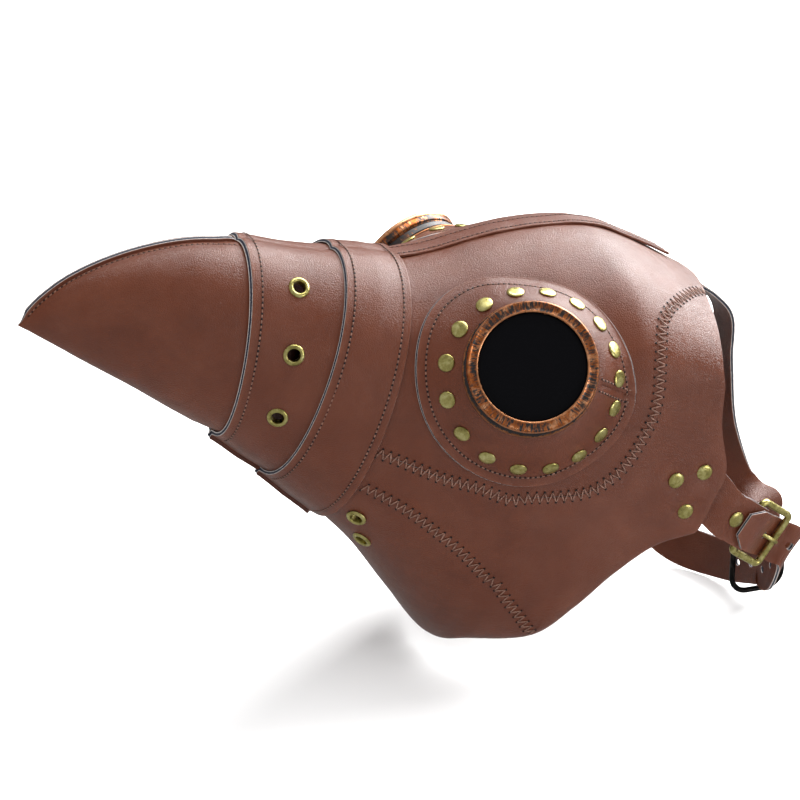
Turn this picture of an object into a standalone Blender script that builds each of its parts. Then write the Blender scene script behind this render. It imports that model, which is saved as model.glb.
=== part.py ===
"""Plague doctor mask: sewn leather body and beak, screw-in goggles, straps with buckle and loop."""
import bpy, bmesh, math
import numpy as np
from mathutils import Vector
from mathutils.bvhtree import BVHTree

MM = 0.001
LEATHER = 1.8            # leather thickness, mm
GAP = 0.3                # air between neighbouring pieces
STRAP_W, STRAP_T, SEAT_GAP = 24.0, 2.0, 2.0
HOLE_PITCH, HOLE_R = 12.5, 2.0

# Side-view stations from the beak tip to the rear edge, mm:
# ridge x, ridge z, underside x, underside z, half width, underside half gap, height fraction of widest line
STATIONS = [
    (-184.0, 62.0, -183.5, 60.5, 1.0, 0, 0.50),
    (-172.0, 74.5, -175.0, 55.0, 6.5, 0, 0.50),
    (-155.0, 85.0, -160.0, 44.5, 13.5, 0, 0.48),
    (-130.0, 92.3, -138.0, 29.5, 21.5, 0, 0.47),
    (-103.0, 94.8, -116.0, 13.8, 28.5, 0, 0.46),
    (-78.0, 91.5, -94.0, -2.5, 34.0, 0, 0.45),
    (-55.0, 84.7, -81.0, -14.0, 38.5, 0, 0.45),
    (-33.0, 80.2, -70.0, -23.0, 43.5, 0, 0.45),
    (-18.0, 77.5, -57.0, -36.0, 47.5, 0, 0.45),
    (-3.0, 75.3, -45.0, -49.0, 51.5, 0, 0.45),
    (16.7, 76.8, -27.0, -69.8, 57.5, 0, 0.45),
    (35.0, 80.2, -8.0, -98.5, 62.5, 0, 0.44),
    (52.0, 82.2, 10.3, -124.0, 67.0, 0, 0.43),
    (67.0, 82.7, 22.0, -118.8, 70.5, 25, 0.42),
    (84.0, 82.2, 48.5, -112.5, 73.5, 48, 0.41),
    (98.0, 80.0, 68.0, -97.0, 75.5, 57, 0.39),
    (112.0, 74.5, 86.0, -80.0, 76.8, 62.5, 0.36),
    (133.0, 63.0, 106.0, -65.0, 77.2, 68, 0.33),
    (153.0, 51.0, 126.0, -59.0, 77.0, 72, 0.31),
]
TIP_END, BAND, COLLAR, FACE = 5.6, (5.0, 7.7), (7.0, 9.0), (7.9, 18.0)
# How far the rear edge is cut forward (-) or back (+) of the last station, by girth
REAR_CUT = [(0, -1.6), (.05, -2.6), (.195, -9.3), (.4, -11.7), (.567, -5.7), (.697, 5), (.8, 2.5), (1, -1)]
SEAM_A = [(7.9, .66), (9.2, .628), (10.3, .6), (11.5, .546), (12.5, .545), (13.3, .56), (14.6, .58),
          (15.3, .565), (15.7, .53), (16, .48), (16.2, .42), (16.3, .27), (16.4, .17), (16.6, .12), (17, .076),
          (17.5, .04), (18, .02)]
SEAM_B = [(7.9, .81), (9, .78), (10.2, .75), (10.9, .736), (11.6, .731), (12.2, .752), (12.8, .79),
          (13.4, .875), (13.75, .94), (14, .985)]
RIDGE_STRIP_W = 14.0
BAND_EYELETS = [(5.96, .12), (6.0, .395), (6.05, .7)]
CHIN_EYELETS = [(9.4, .9), (9.82, .955)]
EYELET_R, EYELET_BORE = 4.9, 2.8
STRAP_RIVETS = [(16.74, .705), (17.44, .704), (17.36, .869)]
RIVET_R, RIVET_H = 4.0, 1.7

# Goggle: centre of its seat on the leather and its outward axis
EYE = Vector((37.1, -72.5, 37.5))
EYE_AXIS = Vector((-0.2926, -0.8498, 0.4384)).normalized()
RING_R, BORE_R, LENS_R, GOGGLE_H = 29.8, 24.9, 25.3, 14.0
PATCH_R, PATCH_FLAT, BROW_HOLE, PATCH_LIFT = 51.0, 32.0, 38.0, 0.8

# Rear hardware
BUCKLE_C = Vector((164.5, -68.0, -67.5))
BUCKLE_AX = Vector((0.80, 0.15, -0.58)).normalized()     # along the strap, toward the rear
LOOP_C = Vector((191.5, -20.0, -110.0))
LOOP_W, LOOP_H, WIRE = 32.0, 34.0, 3.0

for ob in list(bpy.data.objects):
    bpy.data.objects.remove(ob)


def material(name, colour, rough, metal=0.0):
    m = bpy.data.materials.new(name)
    m.use_nodes = True
    b = m.node_tree.nodes["Principled BSDF"]
    b.inputs["Base Color"].default_value = (*colour, 1)
    b.inputs["Roughness"].default_value = rough
    b.inputs["Metallic"].default_value = metal
    return m


COL = {"leather": ((0.13, 0.05, 0.034), 0.5, 0), "brass": ((0.42, 0.31, 0.13), 0.35, 1),
       "copper": ((0.30, 0.14, 0.07), 0.4, 1), "lens": ((0.012, 0.012, 0.014), 0.08, 0),
       "black": ((0.02, 0.02, 0.02), 0.35, 1)}


def add(name, verts, faces, kind, clean=True):
    """Make one named object from millimetre points; faces are turned outward."""
    me = bpy.data.meshes.new(name)
    me.from_pydata([tuple(Vector(v) * MM) for v in verts], [], faces)
    ob = bpy.data.objects.new(name, me)
    bpy.context.scene.collection.objects.link(ob)
    me.materials.append(material("mat_" + name, *COL[kind]))
    if clean:
        bm = bmesh.new()
        bm.from_mesh(me)
        bmesh.ops.remove_doubles(bm, verts=bm.verts, dist=2e-6)
        bmesh.ops.recalc_face_normals(bm, faces=bm.faces)
        bm.to_mesh(me)
        bm.free()
    return ob


def set_origin(ob, point):
    """Move the object's origin to a millimetre point without moving its geometry."""
    p = Vector(point) * MM
    for v in ob.data.vertices:
        v.co -= p
    ob.location = p


ST = np.array(STATIONS, float)


def station(q):
    """Catmull-Rom through the station table."""
    n = len(ST) - 1
    i = int(min(max(math.floor(q), 0), n - 1))
    t = q - i
    p1, p2 = ST[i], ST[i + 1]
    p0 = ST[i - 1] if i > 0 else 2 * p1 - p2
    p3 = ST[i + 2] if i + 2 <= n else 2 * p2 - p1
    r = 0.5 * ((2 * p1) + (p2 - p0) * t + (2 * p0 - 5 * p1 + 4 * p2 - p3) * t * t
               + (3 * p1 - p0 - 3 * p2 + p3) * t ** 3)
    r[4] = max(r[4], 0.5)
    r[5] = max(r[5], 0.0) if q > 12 else 0.0
    return r


def rear_cut(v):
    """Smooth curve through REAR_CUT."""
    i = max(k for k in range(len(REAR_CUT) - 1) if REAR_CUT[k][0] <= v or k == 0)
    (a, p1), (b, p2) = REAR_CUT[i], REAR_CUT[i + 1]
    p0 = REAR_CUT[i - 1][1] if i > 0 else 2 * p1 - p2
    p3 = REAR_CUT[i + 2][1] if i + 2 < len(REAR_CUT) else 2 * p2 - p1
    t = (v - a) / (b - a)
    return 0.5 * (2 * p1 + (p2 - p0) * t + (2 * p0 - 5 * p1 + 4 * p2 - p3) * t * t
                  + (3 * p1 - p0 - 3 * p2 + p3) * t ** 3)


def surf(q, v):
    """Near-side skin point for station q and girth v (0 ridge, 1 underside)."""
    tx, tz, bx, bz, w, b, sm = station(q)
    t = min(max((q - 14) / 3.2, 0.0), 1.0)
    cut = t * t * (3 - 2 * t) * rear_cut(min(max(v, 0.0), 1.0))
    th = math.pi * min(max(v, 0.0), 1.0)
    g = max(math.sin(th), 0.0) ** 0.9
    if v <= 0.5:
        s, y = sm * (1 - math.cos(th)), w * g
    else:
        s, y = sm + (1 - sm) * (-math.cos(th)), b + (w - b) * g
    return Vector((tx + (bx - tx) * s + cut, -y, tz + (bz - tz) * s))


def normal(q, v):
    dv = 0.004
    if v <= dv:
        a, c = surf(q, dv), surf(q, dv)
        dvv = a - Vector((c.x, -c.y, c.z))
    elif v >= 1 - dv and station(q)[5] < 0.01:
        a = surf(q, 1 - dv)
        dvv = Vector((a.x, -a.y, a.z)) - a
    else:
        dvv = surf(q, min(v + dv, 1)) - surf(q, max(v - dv, 0))
    q0, q1 = max(q - 0.05, 0.0), min(q + 0.05, 18.0)
    dq = surf(q1, v) - surf(q0, v)
    if q > 11.9 and q < 12.1 and v > 0.98:
        dq = surf(q, v) - surf(q - 0.1, v)
    n = dq.cross(dvv)
    n.normalize()
    ref = surf(q, v)
    t = station(q)
    mid = Vector(((t[0] + t[2]) / 2, 0, (t[1] + t[3]) / 2))
    if n.dot(ref - mid) < 0:
        n = -n
    if v <= dv or (v >= 1 - dv and t[5] < 0.01):
        n.y = 0
        n.normalize()
    return n


def skin(q, v, off):
    return surf(q, v) + normal(q, v) * off


def v_of_s(q, s):
    sm = station(q)[6]
    if s <= sm:
        return math.acos(max(1 - s / sm, -1)) / math.pi
    return math.acos(-min((s - sm) / (1 - sm), 1)) / math.pi


def along(table, q):
    return float(np.interp(q, [a for a, _ in table], [b for _, b in table]))


def flip(v):
    return Vector((v[0], -v[1], v[2]))


def shell(outer, inner, faces):
    """Closed body from matching outer and inner skins and the outer faces."""
    n = len(outer)
    fs = [tuple(f) for f in faces] + [tuple(n + i for i in reversed(f)) for f in faces]
    count = {}
    for f in faces:
        for a, b in zip(f, f[1:] + f[:1]):
            count[(a, b)] = count.get((a, b), 0) + 1
    for (a, b) in count:
        if (b, a) not in count:
            fs.append((b, a, n + a, n + b))
    return list(outer) + list(inner), fs


def grid_faces(nr, nc, closed=False):
    fs = []
    for i in range(nr - 1):
        for j in range(nc if closed else nc - 1):
            k = (j + 1) % nc
            fs.append([i * nc + j, i * nc + k, (i + 1) * nc + k, (i + 1) * nc + j])
    return fs


def panel(name, qs, v0, v1, nv, off, side, push=0.0):
    """Leather panel between two girth lines on one side of the mask."""
    out, inn = [], []
    for q in qs:
        a, b = v0(q), v1(q)
        for j in range(nv + 1):
            v = a + (b - a) * j / nv
            o, i = skin(q, v, off), skin(q, v, off - LEATHER)
            o.y -= push
            i.y = min(i.y - push, -push)
            out.append(o)
            inn.append(i)
    if side < 0:
        out, inn = [flip(p) for p in out], [flip(p) for p in inn]
    vs, fs = shell(out, inn, grid_faces(len(qs), nv + 1))
    return add(name, vs, fs, "leather")


def loop(q, off, n, top=None, bottom=None, half=1.9):
    """Closed section; top and bottom give the height of a raw-edge seam."""
    w = station(q)[4] + off
    vf = math.asin(min((min(half, 0.8 * w) / w) ** (1 / 0.9), 1)) / math.pi
    near = []
    a = vf if top else 0.0
    b = 1 - vf if bottom else 1.0
    if top:
        r = skin(q, vf, off)
        c = skin(q, 0, off + top(q))
        near += [Vector((c.x, 0, c.z)), Vector((c.x, r.y, c.z))]
    near += [skin(q, a + (b - a) * j / n, off) for j in range(n + 1)]
    if bottom:
        r = skin(q, 1 - vf, off)
        c = skin(q, 1, off + bottom(q))
        near += [Vector((c.x, r.y, c.z)), Vector((c.x, 0, c.z))]
    near[0].y = near[-1].y = 0
    return near + [flip(p) for p in reversed(near[1:-1])]


def tube(name, qs_out, qs_in, off, n, front_cap=False, offs=None, **fin):
    """Sewn sleeve: outer and inner loops joined at the rims."""
    offs = offs or (lambda q: off)
    outer = [loop(q, offs(q), n, **fin) for q in qs_out]
    none = {k: (lambda q: 0.0) for k in fin}
    inner = [loop(q, offs(q) - LEATHER, n, **none) for q in qs_in]
    nc = len(outer[0])
    vs = [p for row in outer for p in row]
    fs = grid_faces(len(outer), nc, True)
    base = len(vs)
    vs += [p for row in inner for p in row]
    fs += [[base + i for i in reversed(f)] for f in grid_faces(len(inner), nc, True)]
    eo, ei = (len(outer) - 1) * nc, base + (len(inner) - 1) * nc
    for j in range(nc):
        k = (j + 1) % nc
        fs.append([eo + j, eo + k, ei + k, ei + j])
    if front_cap:
        fs.append(list(range(nc)))
        fs.append([base + i for i in range(nc)])
    else:
        for j in range(nc):
            k = (j + 1) % nc
            fs.append([j, k, base + k, base + j])
    return add(name, vs, fs, "leather")


def frame_of(axis):
    z = Vector(axis).normalized()
    x = Vector((0, 0, 1)).cross(z)
    if x.length < 1e-3:
        x = Vector((1, 0, 0))
    x.normalize()
    return x, z.cross(x), z


def turned(name, centre, axis, profile, kind, n=40):
    """Body of revolution; the profile is a closed list of (radius, height) in mm."""
    x, y, z = frame_of(axis)
    c = Vector(centre)
    vs, fs, m = [], [], len(profile)
    for i in range(n):
        a = 2 * math.pi * i / n
        d = x * math.cos(a) + y * math.sin(a)
        vs += [c + d * r + z * h for r, h in profile]
    for i in range(n):
        k = (i + 1) % n
        for j in range(m):
            l = (j + 1) % m
            fs.append([i * m + j, k * m + j, k * m + l, i * m + l])
    return add(name, vs, fs, kind)


def solid_turned(name, centre, axis, profile, kind, n=12):
    """Body of revolution whose open profile starts and ends on the axis."""
    x, y, z = frame_of(axis)
    c = Vector(centre)
    vs, fs, m = [c + z * profile[0][1]], [], len(profile) - 2
    for i in range(n):
        a = 2 * math.pi * i / n
        d = x * math.cos(a) + y * math.sin(a)
        vs += [c + d * r + z * h for r, h in profile[1:-1]]
    vs.append(c + z * profile[-1][1])
    for i in range(n):
        k = (i + 1) % n
        fs.append([0, 1 + i * m, 1 + k * m])
        fs.append([len(vs) - 1, 1 + k * m + m - 1, 1 + i * m + m - 1])
        for j in range(m - 1):
            fs.append([1 + i * m + j, 1 + i * m + j + 1, 1 + k * m + j + 1, 1 + k * m + j])
    return add(name, vs, fs, kind)


def drill(ob, holes):
    """Cut round holes (centre, axis, radius, half length) through one object."""
    vs, fs = [], []
    for c, axis, r, half in holes:
        x, y, z = frame_of(axis)
        c, base, n = Vector(c), len(vs), 12 if r < 10 else 36
        for h in (-half, half):
            vs += [c + (x * math.cos(2 * math.pi * i / n) + y * math.sin(2 * math.pi * i / n)) * r + z * h
                   for i in range(n)]
        fs += [[base + i, base + (i + 1) % n, base + n + (i + 1) % n, base + n + i] for i in range(n)]
        fs += [[base + i for i in reversed(range(n))], [base + n + i for i in range(n)]]
    cut = add("cut_tmp", vs, fs, "black", clean=True)
    m = ob.modifiers.new("holes", "BOOLEAN")
    m.object, m.operation, m.solver = cut, "DIFFERENCE", "EXACT"
    deps = bpy.context.evaluated_depsgraph_get()
    done = bpy.data.meshes.new_from_object(ob.evaluated_get(deps))
    mat = ob.data.materials[0]
    ob.modifiers.clear()
    ob.data = done
    if not done.materials:
        done.materials.append(mat)
    bpy.data.objects.remove(cut)
    return ob


def smooth_path(points, step=4.0):
    """Catmull-Rom through (x, y, z, ux, uy, uz) rows: place and width direction."""
    P = np.array(points, float)
    P = np.vstack([2 * P[0] - P[1], P, 2 * P[-1] - P[-2]])
    rows = []
    for i in range(1, len(P) - 2):
        p0, p1, p2, p3 = P[i - 1:i + 3]
        n = max(2, int(np.linalg.norm(p2[:3] - p1[:3]) / step))
        for k in range(n):
            t = k / n
            rows.append(0.5 * (2 * p1 + (p2 - p0) * t + (2 * p0 - 5 * p1 + 4 * p2 - p3) * t * t
                               + (3 * p1 - p0 - 3 * p2 + p3) * t ** 3))
    rows.append(P[-2])
    return rows


def ribbon(name, points, widths, kind="leather", step=4.0, thick=STRAP_T):
    """Flat strap: widths gives (fraction of length, width) pairs."""
    rows = smooth_path(points, step)
    pos = [Vector(r[:3]) for r in rows]
    length = [0.0]
    for a, b in zip(pos, pos[1:]):
        length.append(length[-1] + (b - a).length)
    vs, m = [], len(rows)
    for i, r in enumerate(rows):
        t = (pos[min(i + 1, m - 1)] - pos[max(i - 1, 0)]).normalized()
        u = Vector(r[3:])
        u = (u - t * u.dot(t)).normalized()
        n = t.cross(u)
        w = along(widths, length[i] / length[-1]) / 2
        vs += [pos[i] + u * w + n * thick / 2, pos[i] - u * w + n * thick / 2,
               pos[i] - u * w - n * thick / 2, pos[i] + u * w - n * thick / 2]
    fs = [[0, 1, 2, 3], [4 * m - 1, 4 * m - 2, 4 * m - 3, 4 * m - 4]]
    for i in range(m - 1):
        for j in range(4):
            k = (j + 1) % 4
            fs.append([4 * i + j, 4 * i + 4 + j, 4 * i + 4 + k, 4 * i + k])
    return add(name, vs, fs, kind), pos, length, vs


def wire_loop(name, centre, ax, ay, pts, r, kind, n=8):
    """Closed wire through 2-D points in the plane of ax and ay."""
    c, ax, ay = Vector(centre), Vector(ax).normalized(), Vector(ay).normalized()
    az = ax.cross(ay)
    vs, fs, m = [], [], len(pts)
    for i, (a, b) in enumerate(pts):
        p0, p1 = pts[i - 1], pts[(i + 1) % m]
        t = (ax * (p1[0] - p0[0]) + ay * (p1[1] - p0[1])).normalized()
        s = az.cross(t)
        o = c + ax * a + ay * b
        vs += [o + (s * math.cos(2 * math.pi * k / n) + az * math.sin(2 * math.pi * k / n)) * r
               for k in range(n)]
    for i in range(m):
        j = (i + 1) % m
        for k in range(n):
            l = (k + 1) % n
            fs.append([i * n + k, i * n + l, j * n + l, j * n + k])
    return add(name, vs, fs, kind)


def round_rect(w, h, r, low=None, n=5):
    """Rounded rectangle; low is the radius of the two lower corners."""
    pts = []
    for sx, sy, c, a0 in ((1, 1, r, 0), (-1, 1, r, 90), (-1, -1, low or r, 180), (1, -1, low or r, 270)):
        for k in range(n + 1):
            a = math.radians(a0 + 90 * k / n)
            pts.append((sx * (w / 2 - c) + c * math.cos(a), sy * (h / 2 - c) + c * math.sin(a)))
    return pts


BAND_ROWS = [5.0, 5.3, 5.6, 6.0, 6.5, 7.0, 7.35, 7.7]
COLLAR_ROWS = [7.0, 7.35, 7.7, 8.1, 8.55, 9.0]
# Beak: tip sleeve inside the band, band inside the collar, collar over the face
tip_out = [0.05, 0.25, 0.6, 1, 1.5, 2, 2.6, 3.3, 4, 4.6, 5, 5.3, 5.6]
tip_in = [0.95, 1.5, 2, 2.6, 3.3, 4, 4.6, 5, 5.3, 5.6]
tuck = lambda q: -1.1 - 0.5 * min(max((q - 4.7) / 0.3, 0), 1)
tube("beak_tip", tip_out, tip_in, -1.1, 12, front_cap=True, offs=tuck,
     top=lambda q: 2.2 * min(max((4.95 - q) / 0.2, 0), 1))
band = tube("beak_band", BAND_ROWS, BAND_ROWS, 1.0, 12,
            bottom=lambda q: 2.5 * min(max((6.9 - q) / 0.3, 0), 1))
lap = lambda q: 3.5 - 0.6 * min(max((q - 8) / 0.9, 0), 1)
tube("beak_collar", COLLAR_ROWS, COLLAR_ROWS, 3.1, 12,
     offs=lap, bottom=lambda q: 2.5)

# Face panels, butted along the two seams
qs = sorted(set([round(float(x), 3) for x in np.linspace(*FACE, 16)] + [a for a, _ in SEAM_A + SEAM_B] + [13.99]))
dv = 0.0013
dA = lambda q: 0.0045 if 15.8 < q < 16.9 else 0.0016     # wider where the seam climbs steeply
vA = lambda q: v_of_s(q, along(SEAM_A, q))
vB = lambda q: v_of_s(q, along(SEAM_B, q)) if q < 14 else 1.0
eye_far = flip(EYE)
rivet_at = {}
for side, tag in ((1, "L"), (-1, "R")):
    brow = panel("brow_" + tag, qs, lambda q: 0.0, lambda q: vA(q) - dA(q), 9, 0, side, push=0.15)
    cheek = panel("cheek_" + tag, qs, lambda q: vA(q) + dA(q), lambda q: vB(q) - (dv if q < 14 else 0), 7, 0, side)
    eye, axis = (EYE, EYE_AXIS) if side > 0 else (eye_far, flip(EYE_AXIS))
    bm = bmesh.new()
    bm.from_mesh(brow.data)
    tree = BVHTree.FromBMesh(bm)
    bm.free()

    # Eye patch: flat seat for the goggle, dished down onto the brow
    x, y, z = frame_of(axis)
    radii = [25.0, PATCH_FLAT, 35, 37.5, 41, 45, PATCH_R]
    out, inn, n = [], [], 32
    for i in range(n):
        a = 2 * math.pi * i / n
        d = x * math.cos(a) + y * math.sin(a)
        for r in radii:
            p = eye + d * r
            hit, nor, _, _ = tree.ray_cast((p + z * 60) * MM, -z, 1.0)
            k = min(max((r - PATCH_FLAT) / (BROW_HOLE - 0.5 - PATCH_FLAT), 0), 1)
            k = k * k * (3 - 2 * k)
            hit = hit / MM if hit else p
            nor = nor if nor and nor.dot(z) > 0 else z
            out.append(p.lerp(hit + nor * (LEATHER + PATCH_LIFT), k))
            inn.append((p - z * LEATHER).lerp(hit + nor * PATCH_LIFT, k))
    fs = []
    m = len(radii)
    for i in range(n):
        k = (i + 1) % n
        for j in range(m - 1):
            fs.append([i * m + j, k * m + j, k * m + j + 1, i * m + j + 1])
    vs, fs = shell(out, inn, fs)
    add("eye_patch_" + tag, vs, fs, "leather")
    drill(brow, [(eye, axis, BROW_HOLE, 45)])

    # Goggle: flanged cup through the patch, clamp nut inside, screw cap with the lens
    turned("goggle_cup_" + tag, eye, axis,
           [(21.5, -8), (24.4, -8), (24.4, 0.3), (31.0, 0.3), (31.0, 1.6), (29.0, 2.2), (29.0, 6.6),
            (24.6, 6.6), (24.6, 1.6), (21.5, 1.6)], "black", 30)
    turned("clamp_nut_" + tag, eye, axis,
           [(24.7, -2.1), (24.7, -5.4), (30.5, -5.4), (30.5, -2.1)], "black", 30)
    turned("lens_cap_" + tag, eye, axis,
           [(22.6, 2.2), (24.2, 2.2), (24.2, 7.4), (28.6, 7.4), (28.6, 8.2), (29.8, 8.2), (29.8, 13.4),
            (29.2, GOGGLE_H), (25.6, GOGGLE_H), (24.9, 13.2), (24.9, 12.9), (25.6, 12.9), (25.6, 9.6),
            (22.6, 9.6)], "copper", 30)
    set_origin(bpy.data.objects["lens_cap_" + tag], eye)
    solid_turned("lens_" + tag, eye, axis,
                 [(0, 9.9), (25.2, 9.9), (25.2, 12.6), (18, 12.6), (0, 12.6)], "lens", 30)
    set_origin(bpy.data.objects["lens_" + tag], eye)

    # Rivets that hold the side straps behind the cheek tab
    spots = []
    for q, s in STRAP_RIVETS:
        v = v_of_s(q, s)
        c, nn = surf(q, v), normal(q, v)
        if side < 0:
            c, nn = flip(c), flip(nn)
        spots.append((c, nn))
    rivet_at[tag] = spots
    drill(cheek, [(c, nn, 1.9, 12) for c, nn in spots])
    for i, (c, nn) in enumerate(spots):
        h = LEATHER + SEAT_GAP + STRAP_T + 1.2
        solid_turned("strap_rivet_%s%d" % (tag, i + 1), c, nn,
                     [(0, RIVET_H + 0.3), (2.4, RIVET_H + 0.1), (3.6, 1.1), (RIVET_R, 0.3), (1.5, 0.3),
                      (1.5, -h), (3.4, -h), (3.4, -h - 0.9), (0, -h - 0.9)], "brass")
    if side > 0:
        cheek_near, cheek_spots = cheek, spots

    # Band eyelets
    low = -0.9 - LEATHER
    ring = [(EYELET_BORE, low - 0.7), (EYELET_BORE, 1.0), (3.2, 1.4), (4.4, 1.1), (EYELET_R, 0.35),
            (3.2, 0.35), (3.2, low), (4.6, low), (4.6, low - 0.7)]
    bh = []
    for i, (q, s) in enumerate(BAND_EYELETS):
        v = v_of_s(q, s)
        c, nn = skin(q, v, 1.0), normal(q, v)
        if side < 0:
            c, nn = flip(c), flip(nn)
        bh.append((c, nn, 3.7, 6))
        turned("band_eyelet_%s%d" % (tag, i + 1), c, nn, ring, "brass", 14)
    band = drill(band, bh)

# Chin panel: one piece folded over the chin line, parted behind it
cq = [q for q in qs if q <= 13.8] + [13.96]
nv = 6
out, inn, faces, index = [], [], [], {}
for side in (1, -1):
    for i, q in enumerate(cq):
        a = vB(q) + dv
        for j in range(nv + 1):
            v = a + (1 - a) * j / nv
            mid = j == nv and q <= 12.001
            key = (0 if mid else side, i, j)
            if key not in index:
                o, n_ = skin(q, v, 0), skin(q, v, -LEATHER)
                if mid:
                    o.y = n_.y = 0
                elif n_.y > -0.4:
                    n_.y = -0.4
                index[key] = len(out)
                out.append(o if side > 0 else flip(o))
                inn.append(n_ if side > 0 else flip(n_))
    g = lambda i, j: index.get((0, i, j), index.get((side, i, j)))
    for i in range(len(cq) - 1):
        for j in range(nv):
            f = [g(i, j), g(i, j + 1), g(i + 1, j + 1), g(i + 1, j)]
            faces.append(f if side > 0 else f[::-1])
vs, fs = shell(out, inn, faces)
chin = add("chin_panel", vs, fs, "leather")
ch = []
for side, tag in ((1, "L"), (-1, "R")):
    for i, (q, s) in enumerate(CHIN_EYELETS):
        v = v_of_s(q, s)
        c, nn = surf(q, v), normal(q, v)
        if side < 0:
            c, nn = flip(c), flip(nn)
        ch.append((c, nn, 3.7, 6))
        turned("chin_eyelet_%s%d" % (tag, i + 1), c, nn, ring, "brass", 14)
drill(chin, ch)

# Centre strip over the forehead ridge, its rear end standing free
cols = 3
qs_strip = list(np.linspace(9.3, 17.45, 18))
out, inn = [], []
for q in qs_strip:
    w = station(q)[4]
    half = RIDGE_STRIP_W / 2 * (1.0 if q < 17.2 else 0.85)
    ve = math.asin((half / w) ** (1 / 0.9)) / math.pi
    lift = 0.3 + 3.2 * min(max((q - 16.0) / 1.2, 0), 1)
    for j in range(-cols, cols + 1):
        v = ve * abs(j) / cols
        o, i = skin(q, v, lift + LEATHER), skin(q, v, lift)
        if j > 0:
            o, i = flip(o), flip(i)
        out.append(o)
        inn.append(i)
vs, fs = shell(out, inn, grid_faces(len(qs_strip), 2 * cols + 1))
add("centre_strip", vs, fs, "leather")


# Straps. Rows are place, then width direction
near = rivet_at["L"]
mean_n = (near[0][1] + near[1][1] + near[2][1]).normalized()
mid = (near[0][0] + near[1][0] + near[2][0]) / 3
seat = mid - mean_n * (LEATHER + SEAT_GAP + STRAP_T / 2)
back = Vector((0.88, 0, -0.47))
back = (back - mean_n * back.dot(mean_n)).normalized()
wide = mean_n.cross(back).normalized()


def rows_from(pts):
    return [(*p, *u) for p, u in pts]


U = BUCKLE_AX
up = Vector((0.55, 0.0, 0.83))
up = (up - U * up.dot(U)).normalized()
face_n = U.cross(up).normalized()
if face_n.y > 0:
    face_n = -face_n
bar_l = BUCKLE_C - U * 10.0
r_fold = 3.3
near_pts = [(seat - back * 13, wide), (seat, wide), (seat + back * 13, wide),
            (bar_l - U * 19 + face_n * 2.3, up), (bar_l - U * 13 + face_n * 2.65, up),
            (bar_l - U * 5 + face_n * r_fold * .93, up), (bar_l + face_n * r_fold, up),
            (bar_l + (U + face_n) * r_fold * 0.71, up), (bar_l + U * r_fold, up),
            (bar_l + (U - face_n) * r_fold * 0.71, up), (bar_l - face_n * r_fold, up),
            (bar_l - U * 7 - face_n * 1.7, up), (bar_l - U * 12 + face_n * 0.2, up),
            (bar_l - U * 17 + face_n * 0.1, up)]
s = 1 if wide.dot(up) > 0 else -1
near_pts = [(p, u * s) if i < 3 else (p, u) for i, (p, u) in enumerate(near_pts)]
strap_L, _, _, _ = ribbon("side_strap_L", rows_from(near_pts),
                           [(0, STRAP_W + 6), (.22, STRAP_W + 4), (.4, STRAP_W), (1, STRAP_W)], step=2.0)
fold_c = bar_l - U * 13.5
for hole in [(c, nn, 1.9, 12) for c, nn in near] + [(fold_c, face_n, 1.9, 9), (bar_l, U, 3.2, 6),
                                                    (bar_l, face_n, 3.1, 6)]:
    drill(strap_L, [hole])

# Far strap: riveted to the far cheek, round the back, through the wire loop and the buckle
far = rivet_at["R"]
far_n = (far[0][1] + far[1][1] + far[2][1]).normalized()
far_mid = (far[0][0] + far[1][0] + far[2][0]) / 3
far_seat = far_mid - far_n * (LEATHER + SEAT_GAP + STRAP_T / 2)
fback = flip(back)
fwide = flip(wide) * s
zz = Vector((0, 0, 1))
far_pts = [(far_seat - fback * 13, fwide), (far_seat, fwide), (far_seat + fback * 13, fwide),
           (Vector((146, 70, -62)), Vector((.5, 0, .85))), (Vector((157, 58, -98)), Vector((.6, .2, .75))),
           (Vector((171, 38, -119)), Vector((.3, .3, .9))), (Vector((186, 8, -120)), Vector((.1, .1, .99))),
           (Vector((191.5, -18, -112.2)), Vector((0, 0, 1))), (Vector((191.5, -28, -110.5)), Vector((0, 0, 1)))]
for along_u, out_n in ((27, -2.5), (17, -3.2), (10.2, -3.2), (5, -1.2), (0, 1.7), (-5, 4.3), (-10, 5.9), (-19, 6.0)):
    far_pts.append((BUCKLE_C + U * along_u + face_n * out_n, up))
far_w = STRAP_W - 2.0
strap_R, pos, length, _ = ribbon("side_strap_R", rows_from(far_pts),
                                 [(0, STRAP_W + 6), (.09, STRAP_W + 4), (.2, far_w), (.975, far_w),
                                  (1, far_w * 0.55)], step=3.0)
holes = [(c, nn, 1.9, 12) for c, nn in far]
total = length[-1]
pin = (BUCKLE_C + U * 10.2 + face_n * 2.9) - (bar_l + U * 3.0 + face_n * 0.4)
pin_at = bar_l + U * 3.0 + face_n * 0.4
cross_l = min(range(len(length)), key=lambda a: (pos[a] - BUCKLE_C - face_n * 1.6).length)
holes.append((BUCKLE_C + face_n * 1.7, pin.normalized(), 2.4, 7))
for k in list(range(1, 9)):
    at = length[cross_l] - HOLE_PITCH * k
    i = min(range(len(length)), key=lambda a: abs(length[a] - at))
    t = (pos[i + 1] - pos[i - 1]).normalized()
    holes.append((pos[i], t.cross(up if k < 3 else zz), HOLE_R, 4))
for hole in holes:
    drill(strap_R, [hole])

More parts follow.
